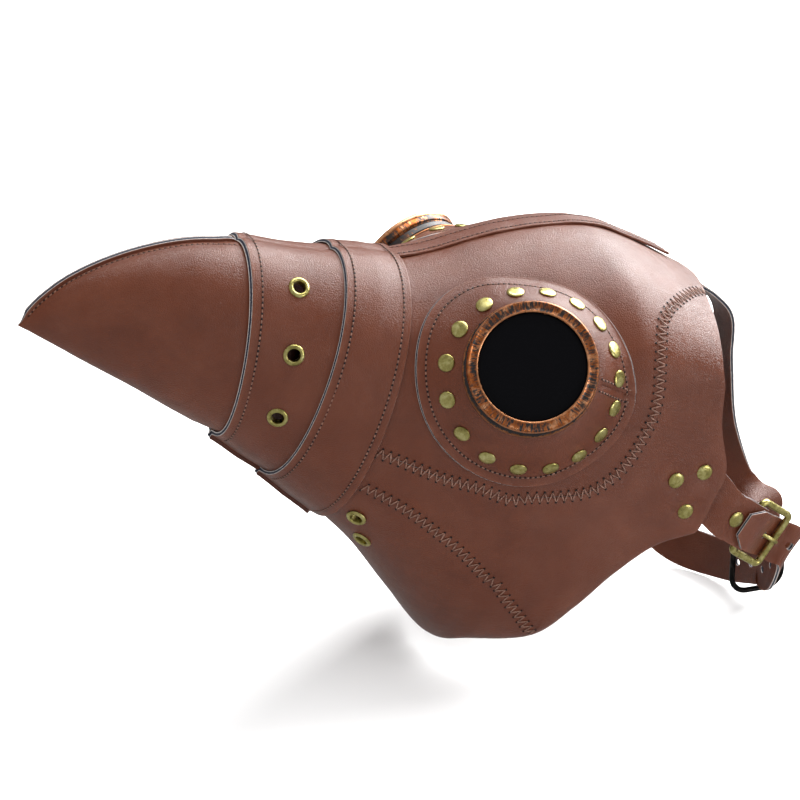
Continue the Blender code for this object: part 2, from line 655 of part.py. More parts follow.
# Top strap: sewn inside the forehead, twists as it drops to the wire loop
yy, xx = Vector((0, -1, 0)), Vector((1, 0, 0))
bar = LOOP_C + zz * (LOOP_H / 2 - WIRE / 2)
rf = 2.9
top_pts = [(Vector((112, 0, 68.2)), yy), (Vector((133, 0, 56.6)), yy), (Vector((150, 0, 46.2)), yy),
           (Vector((164, 0, 37)), yy), (Vector((174, 0, 24)), yy), (Vector((175, 0, 0)), yy),
           (Vector((175, -3, -35)), Vector((.35, -1, 0))), (Vector((181, -10, -66)), Vector((1, -.7, 0))),
           (bar + zz * 20 + yy * 2.2, xx), (bar + zz * 13 + yy * 1.6, xx), (bar + yy * rf * 0.7 + zz * 4, xx), (bar + yy * rf, xx),
           (bar - zz * rf * .72 + yy * rf * .7, xx), (bar - zz * rf, xx), (bar - zz * rf * .72 - yy * rf * .7, xx),
           (bar - yy * rf, xx), (bar + zz * 4 - yy * rf, xx), (bar + zz * 13 - yy * 1.9, xx)]
strap_T, _, _, _ = ribbon("top_strap", rows_from(top_pts), [(0, 20), (1, 20)], step=2.0)
tf = bar + zz * 10
drill(strap_T, [(tf, yy, 1.9, 9)])

def rod(name, path, r, kind, n=8):
    """Round bar along a path, closed at both ends."""
    vs, fs, m = [], [], len(path)
    ref = up
    for i, p in enumerate(path):
        t = (path[min(i + 1, m - 1)] - path[max(i - 1, 0)]).normalized()
        a = (ref - t * ref.dot(t)).normalized()
        b = t.cross(a)
        vs += [p + (a * math.cos(2 * math.pi * k / n) + b * math.sin(2 * math.pi * k / n)) * r
               for k in range(n)]
    for i in range(m - 1):
        fs += [[i * n + k, i * n + (k + 1) % n, (i + 1) * n + (k + 1) % n, (i + 1) * n + k] for k in range(n)]
    fs += [list(range(n)), [len(vs) - n + k for k in range(n)]]
    return add(name, vs, fs, kind)


# Buckle frame on the near strap's fold, its prong, and the wire loop on the top strap's fold
wire_loop("buckle_frame", BUCKLE_C, U, up, round_rect(20.4, 29.0, 2.0), 1.8, "brass")
set_origin(bpy.data.objects["buckle_frame"], bar_l)
ring_r = 3.0
path = [bar_l + (U * math.cos(math.radians(a)) - face_n * math.sin(math.radians(a))) * ring_r
        for a in range(250, -1, -25)]
path = [p for p in path]
path += [pin_at + pin * f + U * 1.2 * (1 - f) for f in (0.2, 0.6, 1.0)]
rod("buckle_prong", path, 0.9, "brass")
set_origin(bpy.data.objects["buckle_prong"], bar_l)
wire_loop("rear_loop", LOOP_C, xx, zz, round_rect(LOOP_W - WIRE, LOOP_H - WIRE, 3.2, 9.0), WIRE / 2, "black")
set_origin(bpy.data.objects["rear_loop"], bar)


def fold_rivet(name, c, axis, depth):
    solid_turned(name, c, axis, [(0, 2.0), (2.4, 1.8), (3.6, 1.1), (RIVET_R, 0.3), (1.5, 0.3),
                                 (1.5, -depth), (3.4, -depth), (3.4, -depth - 0.9), (0, -depth - 0.9)], "brass")


fold_rivet("fold_rivet_side", fold_c + face_n * 4.3, face_n, 6.4)
fold_rivet("fold_rivet_top", tf + yy * 4.4, yy, 9.0)
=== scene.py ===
import math

import bmesh
import bpy
import numpy as np
from mathutils import Matrix, Vector
from mathutils.bvhtree import BVHTree


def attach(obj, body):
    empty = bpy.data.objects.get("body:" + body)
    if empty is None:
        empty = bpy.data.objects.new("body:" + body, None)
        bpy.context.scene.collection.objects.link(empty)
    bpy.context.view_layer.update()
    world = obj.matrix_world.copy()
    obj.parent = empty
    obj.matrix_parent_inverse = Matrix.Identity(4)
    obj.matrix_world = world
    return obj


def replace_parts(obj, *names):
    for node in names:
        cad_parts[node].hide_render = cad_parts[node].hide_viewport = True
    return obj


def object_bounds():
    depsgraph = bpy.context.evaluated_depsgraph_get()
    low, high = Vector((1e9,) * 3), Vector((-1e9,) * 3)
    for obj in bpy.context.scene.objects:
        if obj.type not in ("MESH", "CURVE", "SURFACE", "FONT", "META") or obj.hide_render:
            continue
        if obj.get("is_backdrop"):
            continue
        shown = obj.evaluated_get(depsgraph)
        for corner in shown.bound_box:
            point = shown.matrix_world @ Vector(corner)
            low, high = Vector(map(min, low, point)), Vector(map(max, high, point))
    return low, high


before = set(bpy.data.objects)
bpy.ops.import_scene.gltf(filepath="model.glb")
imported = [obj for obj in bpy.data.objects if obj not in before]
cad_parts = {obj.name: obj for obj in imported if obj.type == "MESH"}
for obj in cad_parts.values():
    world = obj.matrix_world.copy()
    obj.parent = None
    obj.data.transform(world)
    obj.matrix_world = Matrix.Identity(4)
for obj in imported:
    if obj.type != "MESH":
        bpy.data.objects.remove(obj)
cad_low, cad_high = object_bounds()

MM = 0.001

# ---------------------------------------------------------------- mask leather
# Smooth brown artificial leather on a woven backing, a little under 2 mm thick. Cut edges show
# the pale backing on both sides of a navy core; the face is creased and rubbed along its edges.
LEATHER = 1.8 * MM
BROWN_DARK, BROWN_MID, BROWN_RUBBED = (0.061, 0.0132, 0.0042), (0.086, 0.0196, 0.0062), (0.145, 0.046, 0.023)
EDGE_PALE, EDGE_NAVY = (0.42, 0.40, 0.38), (0.010, 0.012, 0.024)


class Tree:
    """A node tree, and the few nodes these materials are made from."""

    def __init__(self, tree):
        self.nodes, self.links = tree.nodes, tree.links

    def feed(self, socket, value):
        if isinstance(value, bpy.types.NodeSocket):
            self.links.new(value, socket)
        elif socket.type == "RGBA" and hasattr(value, "__len__"):
            socket.default_value = (*value, 1)
        else:
            socket.default_value = value

    def put(self, kind, **inputs):
        node = self.nodes.new("ShaderNode" + kind)
        for name, value in inputs.items():
            self.feed(node.inputs[name], value)
        return node

    def attribute(self, name):
        node = self.put("Attribute")
        node.attribute_name = name
        return node.outputs["Fac"]

    def noise(self, vector, scale, detail=4.0, rough=0.55, distortion=0.0):
        return self.put("TexNoise", Vector=vector, Scale=scale, Detail=detail, Roughness=rough,
                        Distortion=distortion).outputs["Fac"]

    def cells(self, vector, scale):
        """Distance to the nearest edge of a cell pattern."""
        node = self.nodes.new("ShaderNodeTexVoronoi")
        node.feature = "DISTANCE_TO_EDGE"
        self.feed(node.inputs["Vector"], vector)
        self.feed(node.inputs["Scale"], scale)
        return node.outputs["Distance"]

    def ramp(self, value, *stops):
        node = self.put("ValToRGB", Fac=value)
        while len(node.color_ramp.elements) < len(stops):
            node.color_ramp.elements.new(0.5)
        for element, (position, colour) in zip(node.color_ramp.elements, stops):
            element.position = position
            element.color = (*(colour if hasattr(colour, "__len__") else (colour,) * 3), 1)
        return node.outputs["Color"]

    def mixed(self, share, a, b):
        node = self.nodes.new("ShaderNodeMix")
        node.data_type = "RGBA"
        for socket, value in zip((node.inputs["Factor"], node.inputs[6], node.inputs[7]), (share, a, b)):
            self.feed(socket, value)
        return node.outputs[2]

    def math(self, operation, a, b):
        node = self.nodes.new("ShaderNodeMath")
        node.operation = operation
        self.feed(node.inputs[0], a)
        self.feed(node.inputs[1], b)
        return node.outputs[0]

    def times(self, a, b):
        return self.math("MULTIPLY", a, b)

    def group(self, group, **inputs):
        node = self.nodes.new("ShaderNodeGroup")
        node.node_tree = group
        for name, value in inputs.items():
            self.feed(node.inputs[name], value)
        return node.outputs


class Material(Tree):
    """A material made on its Principled shader, in object coordinates."""

    def __init__(self, name):
        self.material = bpy.data.materials.new(name)
        self.material.use_nodes = True
        super().__init__(self.material.node_tree)
        self.shader = self.nodes["Principled BSDF"].inputs

    def place(self):
        return self.put("TexCoord").outputs["Object"]

    def set(self, **values):
        for name, value in values.items():
            self.feed(self.shader[name.replace("_", " ")], value)

    def bump(self, height, strength, distance):
        self.set(Normal=self.put("Bump", Height=height, Strength=strength, Distance=distance).outputs["Normal"])


def new_group(name, inputs, outputs):
    """Node group with its sockets; gives the tree, its input sockets and its output node."""
    group = bpy.data.node_groups.new(name, "ShaderNodeTree")
    for socket, kind in inputs:
        group.interface.new_socket(socket, in_out="INPUT", socket_type="NodeSocket" + kind)
    for socket in outputs:
        group.interface.new_socket(socket, in_out="OUTPUT", socket_type="NodeSocketFloat")
    start, end = group.nodes.new("NodeGroupInput"), group.nodes.new("NodeGroupOutput")
    return group, Tree(group), start.outputs, end.inputs


def grain_group():
    """Leather grain: fine pebbles, pores and soft creases, as a height, a mottle and a crease mask; the leather
    paints shade into its creases with that mask.
    """
    group, tree, given, out = new_group("leather_grain", [("Vector", "Vector")], ("Height", "Mottle", "Crease"))
    vector = given["Vector"]
    warp = tree.nodes.new("ShaderNodeVectorMath")
    warp.operation = "MULTIPLY_ADD"
    tree.feed(warp.inputs[0], tree.put("TexNoise", Vector=vector, Scale=60).outputs["Color"])
    tree.feed(warp.inputs[1], (0.006, 0.006, 0.006))
    tree.feed(warp.inputs[2], vector)
    warped = warp.outputs[0]
    pores = tree.ramp(tree.cells(warped, 1050), (0.0, 0.0), (0.16, 0.85), (0.5, 1.0))
    fine = tree.noise(vector, 900, 3)
    soft = tree.noise(warped, 70, 5, 0.6, 0.4)
    lines = tree.ramp(tree.cells(warped, 95), (0.0, 0.0), (0.05, 0.85), (0.12, 1.0))
    where = tree.ramp(tree.noise(vector, 22, 2), (0.50, 0.0), (0.66, 1.0))
    shown = tree.times(tree.math("SUBTRACT", 1.0, lines), where)
    height = tree.math("ADD", tree.times(pores, 0.30), tree.times(fine, 0.22))
    height = tree.math("ADD", height, tree.times(soft, 0.45))
    height = tree.math("SUBTRACT", height, tree.times(shown, 0.10))
    for name, value in (("Height", height), ("Mottle", soft), ("Crease", shown)):
        tree.feed(out[name], value)
    return group


GRAIN = grain_group()


def leather_material(name, rubbed=1.0, bump=0.35):
    """Brown leather; the depth attribute runs 0 on the face to 1 on the back through a cut edge."""
    m = Material(name)
    place, depth = m.place(), m.attribute("depth")
    grain = m.group(GRAIN, Vector=place)
    colour = m.ramp(m.noise(place, 26, 5, 0.6, 0.6), (0.15, BROWN_DARK), (0.45, BROWN_MID), (1.0, BROWN_RUBBED))
    colour = m.mixed(0.45, colour, m.ramp(grain["Mottle"], (0.3, BROWN_DARK), (0.7, BROWN_MID)))
    # Painted shade: the leather is darkened along its creases.
    colour = m.mixed(m.times(grain["Crease"], 0.22), colour, BROWN_DARK)
    rub = m.times(m.attribute("worn"), m.ramp(m.noise(place, 210, 4), (0.35, 0.15), (0.65, 1.0)))
    colour = m.mixed(m.times(rub, 0.55 * rubbed), colour, BROWN_RUBBED)
    # Painted shade: darker along stitch rows, panel joins and the raw seam fins, where the leather dips or stands in
    # shade.
    colour = m.mixed(m.times(m.attribute("seam"), 0.6), colour, BROWN_DARK)
    fibre = m.times(m.math("SUBTRACT", m.noise(place, 1600, 3), 0.5), 0.25)
    core = m.ramp(m.math("ADD", depth, fibre), (0.0, EDGE_PALE), (0.20, EDGE_PALE), (0.27, EDGE_NAVY),
                  (0.72, EDGE_NAVY), (0.79, EDGE_PALE), (1.0, EDGE_PALE))
    inside = m.ramp(depth, (0.10, 0.0), (0.16, 1.0), (0.86, 1.0), (0.92, 0.0))
    gloss = m.ramp(m.noise(place, 130, 4), (0.3, 0.30), (0.7, 0.40))
    m.set(Base_Color=m.mixed(inside, colour, core), Roughness=m.mixed(inside, gloss, (0.85, 0.85, 0.85)),
          Specular_IOR_Level=0.40)
    m.bump(grain["Height"], bump, 0.0012)
    return m.material


mask_leather = leather_material("mask_leather")

# ---------------------------------------------------------------- shape of the mask
# The leather follows one body shape: sections from a ridge point to an underside point, mm. Columns are
# ridge x, ridge z, underside x, underside z, half width, half gap below, share of height at the widest line.
STATIONS = np.array([
    (-184.0, 62.0, -183.5, 60.5, 1.0, 0, 0.50),
    (-172.0, 74.5, -175.0, 55.0, 6.5, 0, 0.50),
    (-155.0, 85.0, -160.0, 44.5, 13.5, 0, 0.48),
    (-130.0, 92.3, -138.0, 29.5, 21.5, 0, 0.47),
    (-103.0, 94.8, -116.0, 13.8, 28.5, 0, 0.46),
    (-78.0, 91.5, -94.0, -2.5, 34.0, 0, 0.45),
    (-55.0, 84.7, -81.0, -14.0, 38.5, 0, 0.45),
    (-33.0, 80.2, -70.0, -23.0, 43.5, 0, 0.45),
    (-18.0, 77.5, -57.0, -36.0, 47.5, 0, 0.45),
    (-3.0, 75.3, -45.0, -49.0, 51.5, 0, 0.45),
    (16.7, 76.8, -27.0, -69.8, 57.5, 0, 0.45),
    (35.0, 80.2, -8.0, -98.5, 62.5, 0, 0.44),
    (52.0, 82.2, 10.3, -124.0, 67.0, 0, 0.43),
    (67.0, 82.7, 22.0, -118.8, 70.5, 25, 0.42),
    (84.0, 82.2, 48.5, -112.5, 73.5, 48, 0.41),
    (98.0, 80.0, 68.0, -97.0, 75.5, 57, 0.39),
    (112.0, 74.5, 86.0, -80.0, 76.8, 62.5, 0.36),
    (133.0, 63.0, 106.0, -65.0, 77.2, 68, 0.33),
    (153.0, 51.0, 126.0, -59.0, 77.0, 72, 0.31),
])
CHIN_POINT = 12.0      # station where the closed underside ends and the neck opening starts
ROUNDNESS = 0.9        # power of the sine that rounds each section
V_MM = 220             # mm round a section for each unit of v, near enough for edges and seams


def station(q):
    """Rows of the station table at the given places, on a smooth curve through it."""
    q = np.asarray(q, float)
    last = len(STATIONS) - 1
    i = np.clip(np.floor(q).astype(int), 0, last - 1)
    t = (q - i)[..., None]
    p1, p2 = STATIONS[i], STATIONS[i + 1]
    p0 = np.where((i > 0)[..., None], STATIONS[np.maximum(i - 1, 0)], 2 * p1 - p2)
    p3 = np.where((i + 2 <= last)[..., None], STATIONS[np.minimum(i + 2, last)], 2 * p2 - p1)
    row = 0.5 * (2 * p1 + (p2 - p0) * t + (2 * p0 - 5 * p1 + 4 * p2 - p3) * t ** 2
                 + (3 * p1 - p0 - 3 * p2 + p3) * t ** 3)
    row[..., 4] = np.maximum(row[..., 4], 0.5)
    row[..., 5] = np.where(q > CHIN_POINT, np.maximum(row[..., 5], 0), 0)
    return row


def curve_through(points, steps=24):
    """Dense smooth curve through a few rows of numbers."""
    p = np.array(points, float)
    p = np.vstack([2 * p[0] - p[1], p, 2 * p[-1] - p[-2]])
    t = np.linspace(0, 1, steps, endpoint=False)[:, None]
    rows = [0.5 * (2 * b + (c - a) * t + (2 * a - 5 * b + 4 * c - d) * t ** 2 + (3 * b - a - 3 * c + d) * t ** 3)
            for a, b, c, d in zip(p, p[1:], p[2:], p[3:])]
    return np.vstack(rows + [p[-2:-1]])


# How far the rear edge is cut forward or back of the last station, by v
REAR_CUT = curve_through([(0, -1.6), (.05, -2.6), (.195, -9.3), (.4, -11.7), (.567, -5.7), (.697, 5), (.8, 2.5),
                          (1, -1)]).T


def form(q, v):
    """Point of the body shape, mm: v is 0 on the ridge and 1 on the underside, on the left side."""
    tx, tz, bx, bz, w, b, widest = np.moveaxis(station(q), -1, 0)
    turn = np.pi * np.clip(v, 0, 1)
    round_ = np.clip(np.sin(turn), 0, None) ** ROUNDNESS
    upper = np.asarray(v) <= 0.5
    s = np.where(upper, widest * (1 - np.cos(turn)), widest - (1 - widest) * np.cos(turn))
    y = np.where(upper, w * round_, b + (w - b) * round_)
    near_rear = np.clip((np.asarray(q) - 14) / 3.2, 0, 1)
    cut = near_rear ** 2 * (3 - 2 * near_rear) * np.interp(v, *REAR_CUT)
    return np.stack([tx + (bx - tx) * s + cut, -y, tz + (bz - tz) * s], -1)


def v_at(y, half_width):
    """The v, above the widest line, that lies y from the middle plane."""
    return np.arcsin(np.clip(y / half_width, 0, 1) ** (1 / ROUNDNESS)) / np.pi


def outward(q, v):
    """Unit normals of the body shape."""
    q, v = np.broadcast_arrays(np.asarray(q, float), np.asarray(v, float))
    inner = np.clip(v, 0.006, 0.994)
    along_v = form(q, inner + 0.004) - form(q, inner - 0.004)
    along_q = form(np.minimum(q + 0.05, 18), inner) - form(np.maximum(q - 0.05, 0), inner)
    n = np.cross(along_q, along_v)
    row = station(q)
    middle = np.stack([(row[..., 0] + row[..., 2]) / 2, 0 * q, (row[..., 1] + row[..., 3]) / 2], -1)
    n *= np.sign(np.sum(n * (form(q, inner) - middle), -1))[..., None]
    flat = (v < 0.004) | ((v > 0.996) & (row[..., 5] < 0.01))
    n[..., 1] = np.where(flat, 0, n[..., 1])
    return n / np.linalg.norm(n, axis=-1, keepdims=True)


def skin(q, v, off=0.0):
    """Points at a height above the body shape, mm, in metres. A negative v is the right side."""
    q, v = np.broadcast_arrays(np.asarray(q, float), np.asarray(v, float))
    p = form(q, abs(v)) + outward(q, abs(v)) * np.asarray(off)[..., None]
    p[..., 1] *= np.where(v < 0, -1, 1)
    return p * MM


def skin_normal(q, v):
    n = outward(q, abs(np.asarray(v, float)))
    n[..., 1] *= np.where(np.asarray(v) < 0, -1, 1)
    return n


def spot(q, s, side, off=0.0):
    """Point and normal at station q and share s of the way down the section, on one side."""
    v = float(girth(q, s)) * side
    return Vector(skin(q, v, off)), Vector(skin_normal(q, v))


def girth(q, s):
    """The v that lies at share s of the way down the section."""
    widest = station(q)[..., 6]
    return np.where(s <= widest, np.arccos(np.clip(1 - s / widest, -1, 1)),
                    np.arccos(np.clip(-(s - widest) / (1 - widest), -1, 1))) / np.pi


def seam_line(points):
    dense = curve_through(points)
    keep = np.maximum.accumulate(dense[:, 0])
    return lambda q: girth(q, np.interp(q, keep, dense[:, 1]))


# The two seams of each side: below the brow panel, and between cheek and chin
brow_seam = seam_line([(7.9, .66), (9.2, .628), (10.3, .6), (11.5, .546), (12.5, .545), (13.3, .56), (14.6, .58),
                       (15.3, .565), (15.7, .53), (16, .48), (16.2, .42), (16.3, .27), (16.4, .17), (16.6, .12),
                       (17, .076), (17.5, .04), (18, .02)])
chin_seam = seam_line([(7.9, .81), (9, .78), (10.2, .75), (10.9, .736), (11.6, .731), (12.2, .752), (12.8, .79),
                       (13.4, .875), (13.75, .94), (14, .985)])


def finish_piece(name, bm, material, body="mask", smooth_angle=40, bevel=0.0, segments=2):
    """Mesh object from a bmesh, riding on its body."""
    mesh = bpy.data.meshes.new(name)
    bm.to_mesh(mesh)
    bm.free()
    mesh.shade_smooth()
    mesh.set_sharp_from_angle(angle=math.radians(smooth_angle))
    piece = bpy.data.objects.new(name, mesh)
    bpy.context.scene.collection.objects.link(piece)
    mesh.materials.append(material)
    if bevel:
        m = piece.modifiers.new("rounded_edges", "BEVEL")
        m.width, m.segments, m.limit_method, m.angle_limit = bevel, segments, "ANGLE", math.radians(60)
        m.harden_normals = False
    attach(piece, body)
    return piece


def punch(bm, centre, axis, radius, reach):
    """Round hole through a sheet: faces inside go, and the rim is drawn onto the circle."""
    centre, axis = Vector(centre), Vector(axis).normalized()

    def out(p):
        d = p - centre
        return d - axis * d.dot(axis)

    gone = [f for f in bm.faces if out(f.calc_center_median()).length < radius
            and abs((f.calc_center_median() - centre).dot(axis)) < reach]
    rim = {v for f in gone for v in f.verts}
    bmesh.ops.delete(bm, geom=gone, context="FACES")
    for v in rim:
        if v.is_valid and v.link_faces:
            d = out(v.co)
            v.co += d.normalized() * (radius - d.length)


def lay_sheet(columns, rows, place):
    """Grid laid by place(u, w) -> face, back, worn, seam, with the way to its back kept per vertex; seam is the mask
    of painted shade along seams and stitch rows.
    """
    bm = bmesh.new()
    bmesh.ops.create_grid(bm, x_segments=columns, y_segments=rows, size=0.5)
    bm.verts.layers.float.new("depth")
    bm.verts.layers.float.new("worn")
    bm.verts.layers.float.new("seam")
    bm.verts.layers.float_vector.new("back")
    worn, seam = bm.verts.layers.float["worn"], bm.verts.layers.float["seam"]
    back = bm.verts.layers.float_vector["back"]
    u = np.array([v.co.x + 0.5 for v in bm.verts])
    w = np.array([v.co.y + 0.5 for v in bm.verts])
    outer, inner, rubbed, sewn = place(u, w)
    marks = np.broadcast_to(rubbed, u.shape), np.broadcast_to(sewn, u.shape)
    for v, o, i, a, b in zip(bm.verts, outer, inner, *marks):
        v.co, v[worn], v[seam] = o, float(a), float(b)
        v[back] = Vector(i) - Vector(o)
    return bm


def thicken(bm, raw=1.0):
    """Add the back of a sheet; raw is the depth its cut edge reaches there."""
    depth, back = bm.verts.layers.float["depth"], bm.verts.layers.float_vector["back"]
    made = bmesh.ops.extrude_face_region(bm, geom=list(bm.faces), use_keep_orig=True)["geom"]
    for v in [g for g in made if isinstance(g, bmesh.types.BMVert)]:
        v.co += v[back]
        v[depth] = raw
    bmesh.ops.recalc_face_normals(bm, faces=bm.faces)
    bm.verts.layers.float_vector.remove(back)


def sheet_piece(name, columns, rows, place, material, holes=(), closed=False, raw=1.0):
    """Leather cut as a grid, closed on itself if asked, punched and given its thickness."""
    bm = lay_sheet(columns, rows, place)
    if closed:
        bmesh.ops.remove_doubles(bm, verts=bm.verts, dist=2e-6)
    for hole in holes:
        punch(bm, *hole)
    thicken(bm, raw)
    return finish_piece(name, bm, material, bevel=0.0003)


def ripple(p, size, height):
    """Soft unevenness of hand-formed leather, mm."""
    x, y, z = (p / MM / size).T
    return height * (np.sin(x + 1.7 * np.sin(y * 0.8 + z)) + np.sin(1.3 * z + 1.1 * y + 2.0)
                     + 0.6 * np.sin(2.3 * x - 1.7 * z + y)) / 2.6


def near_edge(distance, width):
    return np.clip(1 - distance / width, 0, 1) ** 2


# ---------------------------------------------------------------- thread
# Waxed brown thread in long machine stitches. Each stitch is a separate short bead that dips at near-black discs laid
# at the needle holes as painted shade; straight rows hold the edges and zigzags cross the butted seams.
def thread_material():
    m = Material("thread")
    place = m.place()
    m.set(Base_Color=m.ramp(m.noise(place, 900, 3), (0.3, (0.085, 0.036, 0.024)), (0.7, (0.22, 0.11, 0.075))),
          Roughness=0.6)
    m.bump(m.noise(place, 2600, 2), 0.5, 0.0003)
    return m.material


def plain_material(name, colour, roughness):
    m = Material(name)
    m.set(Base_Color=colour, Roughness=roughness)
    return m.material


thread = thread_material()
# Near-black discs at the needle holes are painted shade for the holes.
painted_hole_shade = plain_material("needle_hole_painted_shade", (0.006, 0.004, 0.004), 0.9)
STITCH_WIDTH, STITCH_RISE = 0.72 * MM, 0.50 * MM


def add_stitch(bm, a, b, normal):
    along = b - a
    x = along.normalized()
    z = (normal - x * normal.dot(x)).normalized()
    turn = Matrix((x, z.cross(x), z)).transposed().to_4x4()
    size = Matrix.Diagonal((along.length / 2, STITCH_WIDTH / 2, STITCH_RISE / 2, 1))
    bmesh.ops.create_icosphere(bm, subdivisions=2, radius=1.0, matrix=Matrix.Translation((a + b) / 2) @ turn @ size)


# A flat near-black disc on the surface at a needle hole: painted shade standing for the hole.
def add_hole_shade(bm, a, n):
    turn = n.to_track_quat("Z", "Y").to_matrix().to_4x4()
    size = Matrix.Diagonal((0.62 * MM, 0.62 * MM, 0.22 * MM, 1))
    bmesh.ops.create_icosphere(bm, subdivisions=1, radius=1.0, matrix=Matrix.Translation(a) @ turn @ size)


def marks_along(points, normals, spacing):
    """Even marks on a dense line, as vectors, with the normal at each."""
    length = np.concatenate([[0], np.cumsum(np.linalg.norm(np.diff(points, axis=0), axis=1))])
    marks = np.linspace(0, length[-1], max(int(length[-1] / spacing), 1) + 1)
    at, up = (np.stack([np.interp(marks, length, a[:, k]) for k in range(3)], -1) for a in (points, normals))
    return [Vector(a) for a in at], [Vector(n) for n in up]


def finish_sewing(name, hole_shade_name, stitches, holes):
    finish_piece(name, stitches, thread, smooth_angle=180)
    finish_piece(hole_shade_name, holes, painted_hole_shade, smooth_angle=180)


def sew(name, rows, pitch=2.45 * MM, gap=0.95 * MM):
    """Rows of stitches along dense lines of (points, normals), with near-black discs of painted shade at the needle
    holes between.
    """
    stitches, holes = bmesh.new(), bmesh.new()
    for points, normals in rows:
        at, up = marks_along(points, normals, pitch)
        for a, b, na, nb in zip(at, at[1:], up, up[1:]):
            n, d = (na + nb).normalized(), (b - a).normalized() * gap / 2
            add_stitch(stitches, a + d + n * 0.1 * MM, b - d + n * 0.1 * MM, n)
            add_hole_shade(holes, a, na)
    finish_sewing("stitches_" + name, "needle_hole_shades_" + name, stitches, holes)


def zigzag(name, lines, pitch=3.9 * MM, width=5.6 * MM):
    """Stitches crossing a butted seam from side to side along (points, normals)."""
    stitches, holes = bmesh.new(), bmesh.new()
    for points, normals in lines:
        at, up = marks_along(points, normals, pitch / 2)
        ends = []
        for i, (a, n) in enumerate(zip(at, up)):
            along, n = (at[min(i + 1, len(at) - 1)] - at[max(i - 1, 0)]).normalized(), n.normalized()
            ends.append((a + n.cross(along).normalized() * (width / 2 if i % 2 else -width / 2), n))
        for (a, na), (b, nb) in zip(ends, ends[1:]):
            add_stitch(stitches, a.lerp(b, 0.05) + na * 0.15 * MM, a.lerp(b, 0.95) + nb * 0.15 * MM, na)
            add_hole_shade(holes, a, na)
    finish_sewing("zigzag_" + name, "zigzag_hole_shades_" + name, stitches, holes)


def skin_row(q, v, off):
    """Points and normals for a sewn row."""
    q, v = np.broadcast_arrays(np.asarray(q, float), np.asarray(v, float))
    return skin(q, v, np.full(q.shape, off)), skin_normal(q, v)


# ---------------------------------------------------------------- beak tip
# One piece of leather folded under the beak; its two cut edges stand up along the top as a raw,
# stitched seam, and its rear end is tucked into the band.
TIP_END, TIP_OFF, FIN, CUT = 5.6, -1.1, 4.2, 2.7


def tip_place(u, w):
    q = np.interp(u, [0, 0.08, 1], [0.03, 0.6, TIP_END])
    across = 1 - abs(2 * w - 1)             # 0 at the raw edge, 1 on the fold below
    side = np.where(w < 0.5, 1, -1)
    fin_share = 0.05
    row = station(q)
    half = np.minimum(LEATHER / MM + 0.15, row[:, 4] * 0.8)
    root = v_at(half, row[:, 4])
    v = root + (1 - root) * np.clip((across - fin_share) / (1 - fin_share), 0, 1)
    thick = np.minimum(LEATHER / MM, row[:, 4] * 0.7)
    sunk = TIP_OFF - 0.5 * np.clip((q - 4.7) / 0.3, 0, 1)
    outer, inner = skin(q, v * side, sunk), skin(q, v * side, sunk - thick)
    rise = np.clip(1 - across / fin_share, 0, 1) * FIN * np.clip((4.98 - q) / 0.15, 0, 1) * np.clip(q * 2, 0.3, 1)
    pinch = -2.2 * np.exp(-abs(outer[:, 1]) / MM / 7) * np.clip(q / 2, 0.2, 1) * np.clip((5.1 - q) / 0.6, 0, 1)
    up = skin_normal(q, 0 * q)
    outer += up * ((rise * (1 - CUT / FIN) + pinch) * MM)[:, None]
    inner += up * ((rise + pinch) * MM)[:, None]
    fin = across < fin_share + 0.002
    inner[:, 1] = np.where(fin, -side * 0.08 * MM, inner[:, 1])
    close = np.clip((across - fin_share) / 0.03, 0, 1)
    inner[:, 1] = np.where(across < 0.3, -side * np.maximum(abs(inner[:, 1]) * close, 0.08 * MM), inner[:, 1])
    puff = ripple(outer, 17, 0.35) * np.clip(across * 4 - 0.4, 0, 1) * np.clip(row[:, 4] / 12, 0, 1)
    outer += skin_normal(q, v * side) * (puff * MM)[:, None]
    inner += skin_normal(q, v * side) * (puff * MM)[:, None]
    worn = np.maximum(near_edge(across * 110, 5), near_edge((1 - across) * 90, 9))
    # The seam mask paints shade along the raw seam on top.
    seam = near_edge(abs(across - 0.085) * 110, 2.2)
    return outer, inner, worn, seam


tip = sheet_piece("tip", 130, 190, tip_place, mask_leather)
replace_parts(tip, "beak_tip")
line = np.linspace(0.45, 4.93, 90)
tip_rows = []
for side in (1, -1):
    w = np.full(line.shape, 0.0425 if side > 0 else 1 - 0.0425)
    points = tip_place((np.interp(line, [0.03, 0.6, TIP_END], [0, 0.08, 1])), w)[0]
    n = skin_normal(line, side * np.full(line.shape, 0.12))
    tip_rows.append((points, n))
sew("tip", tip_rows)


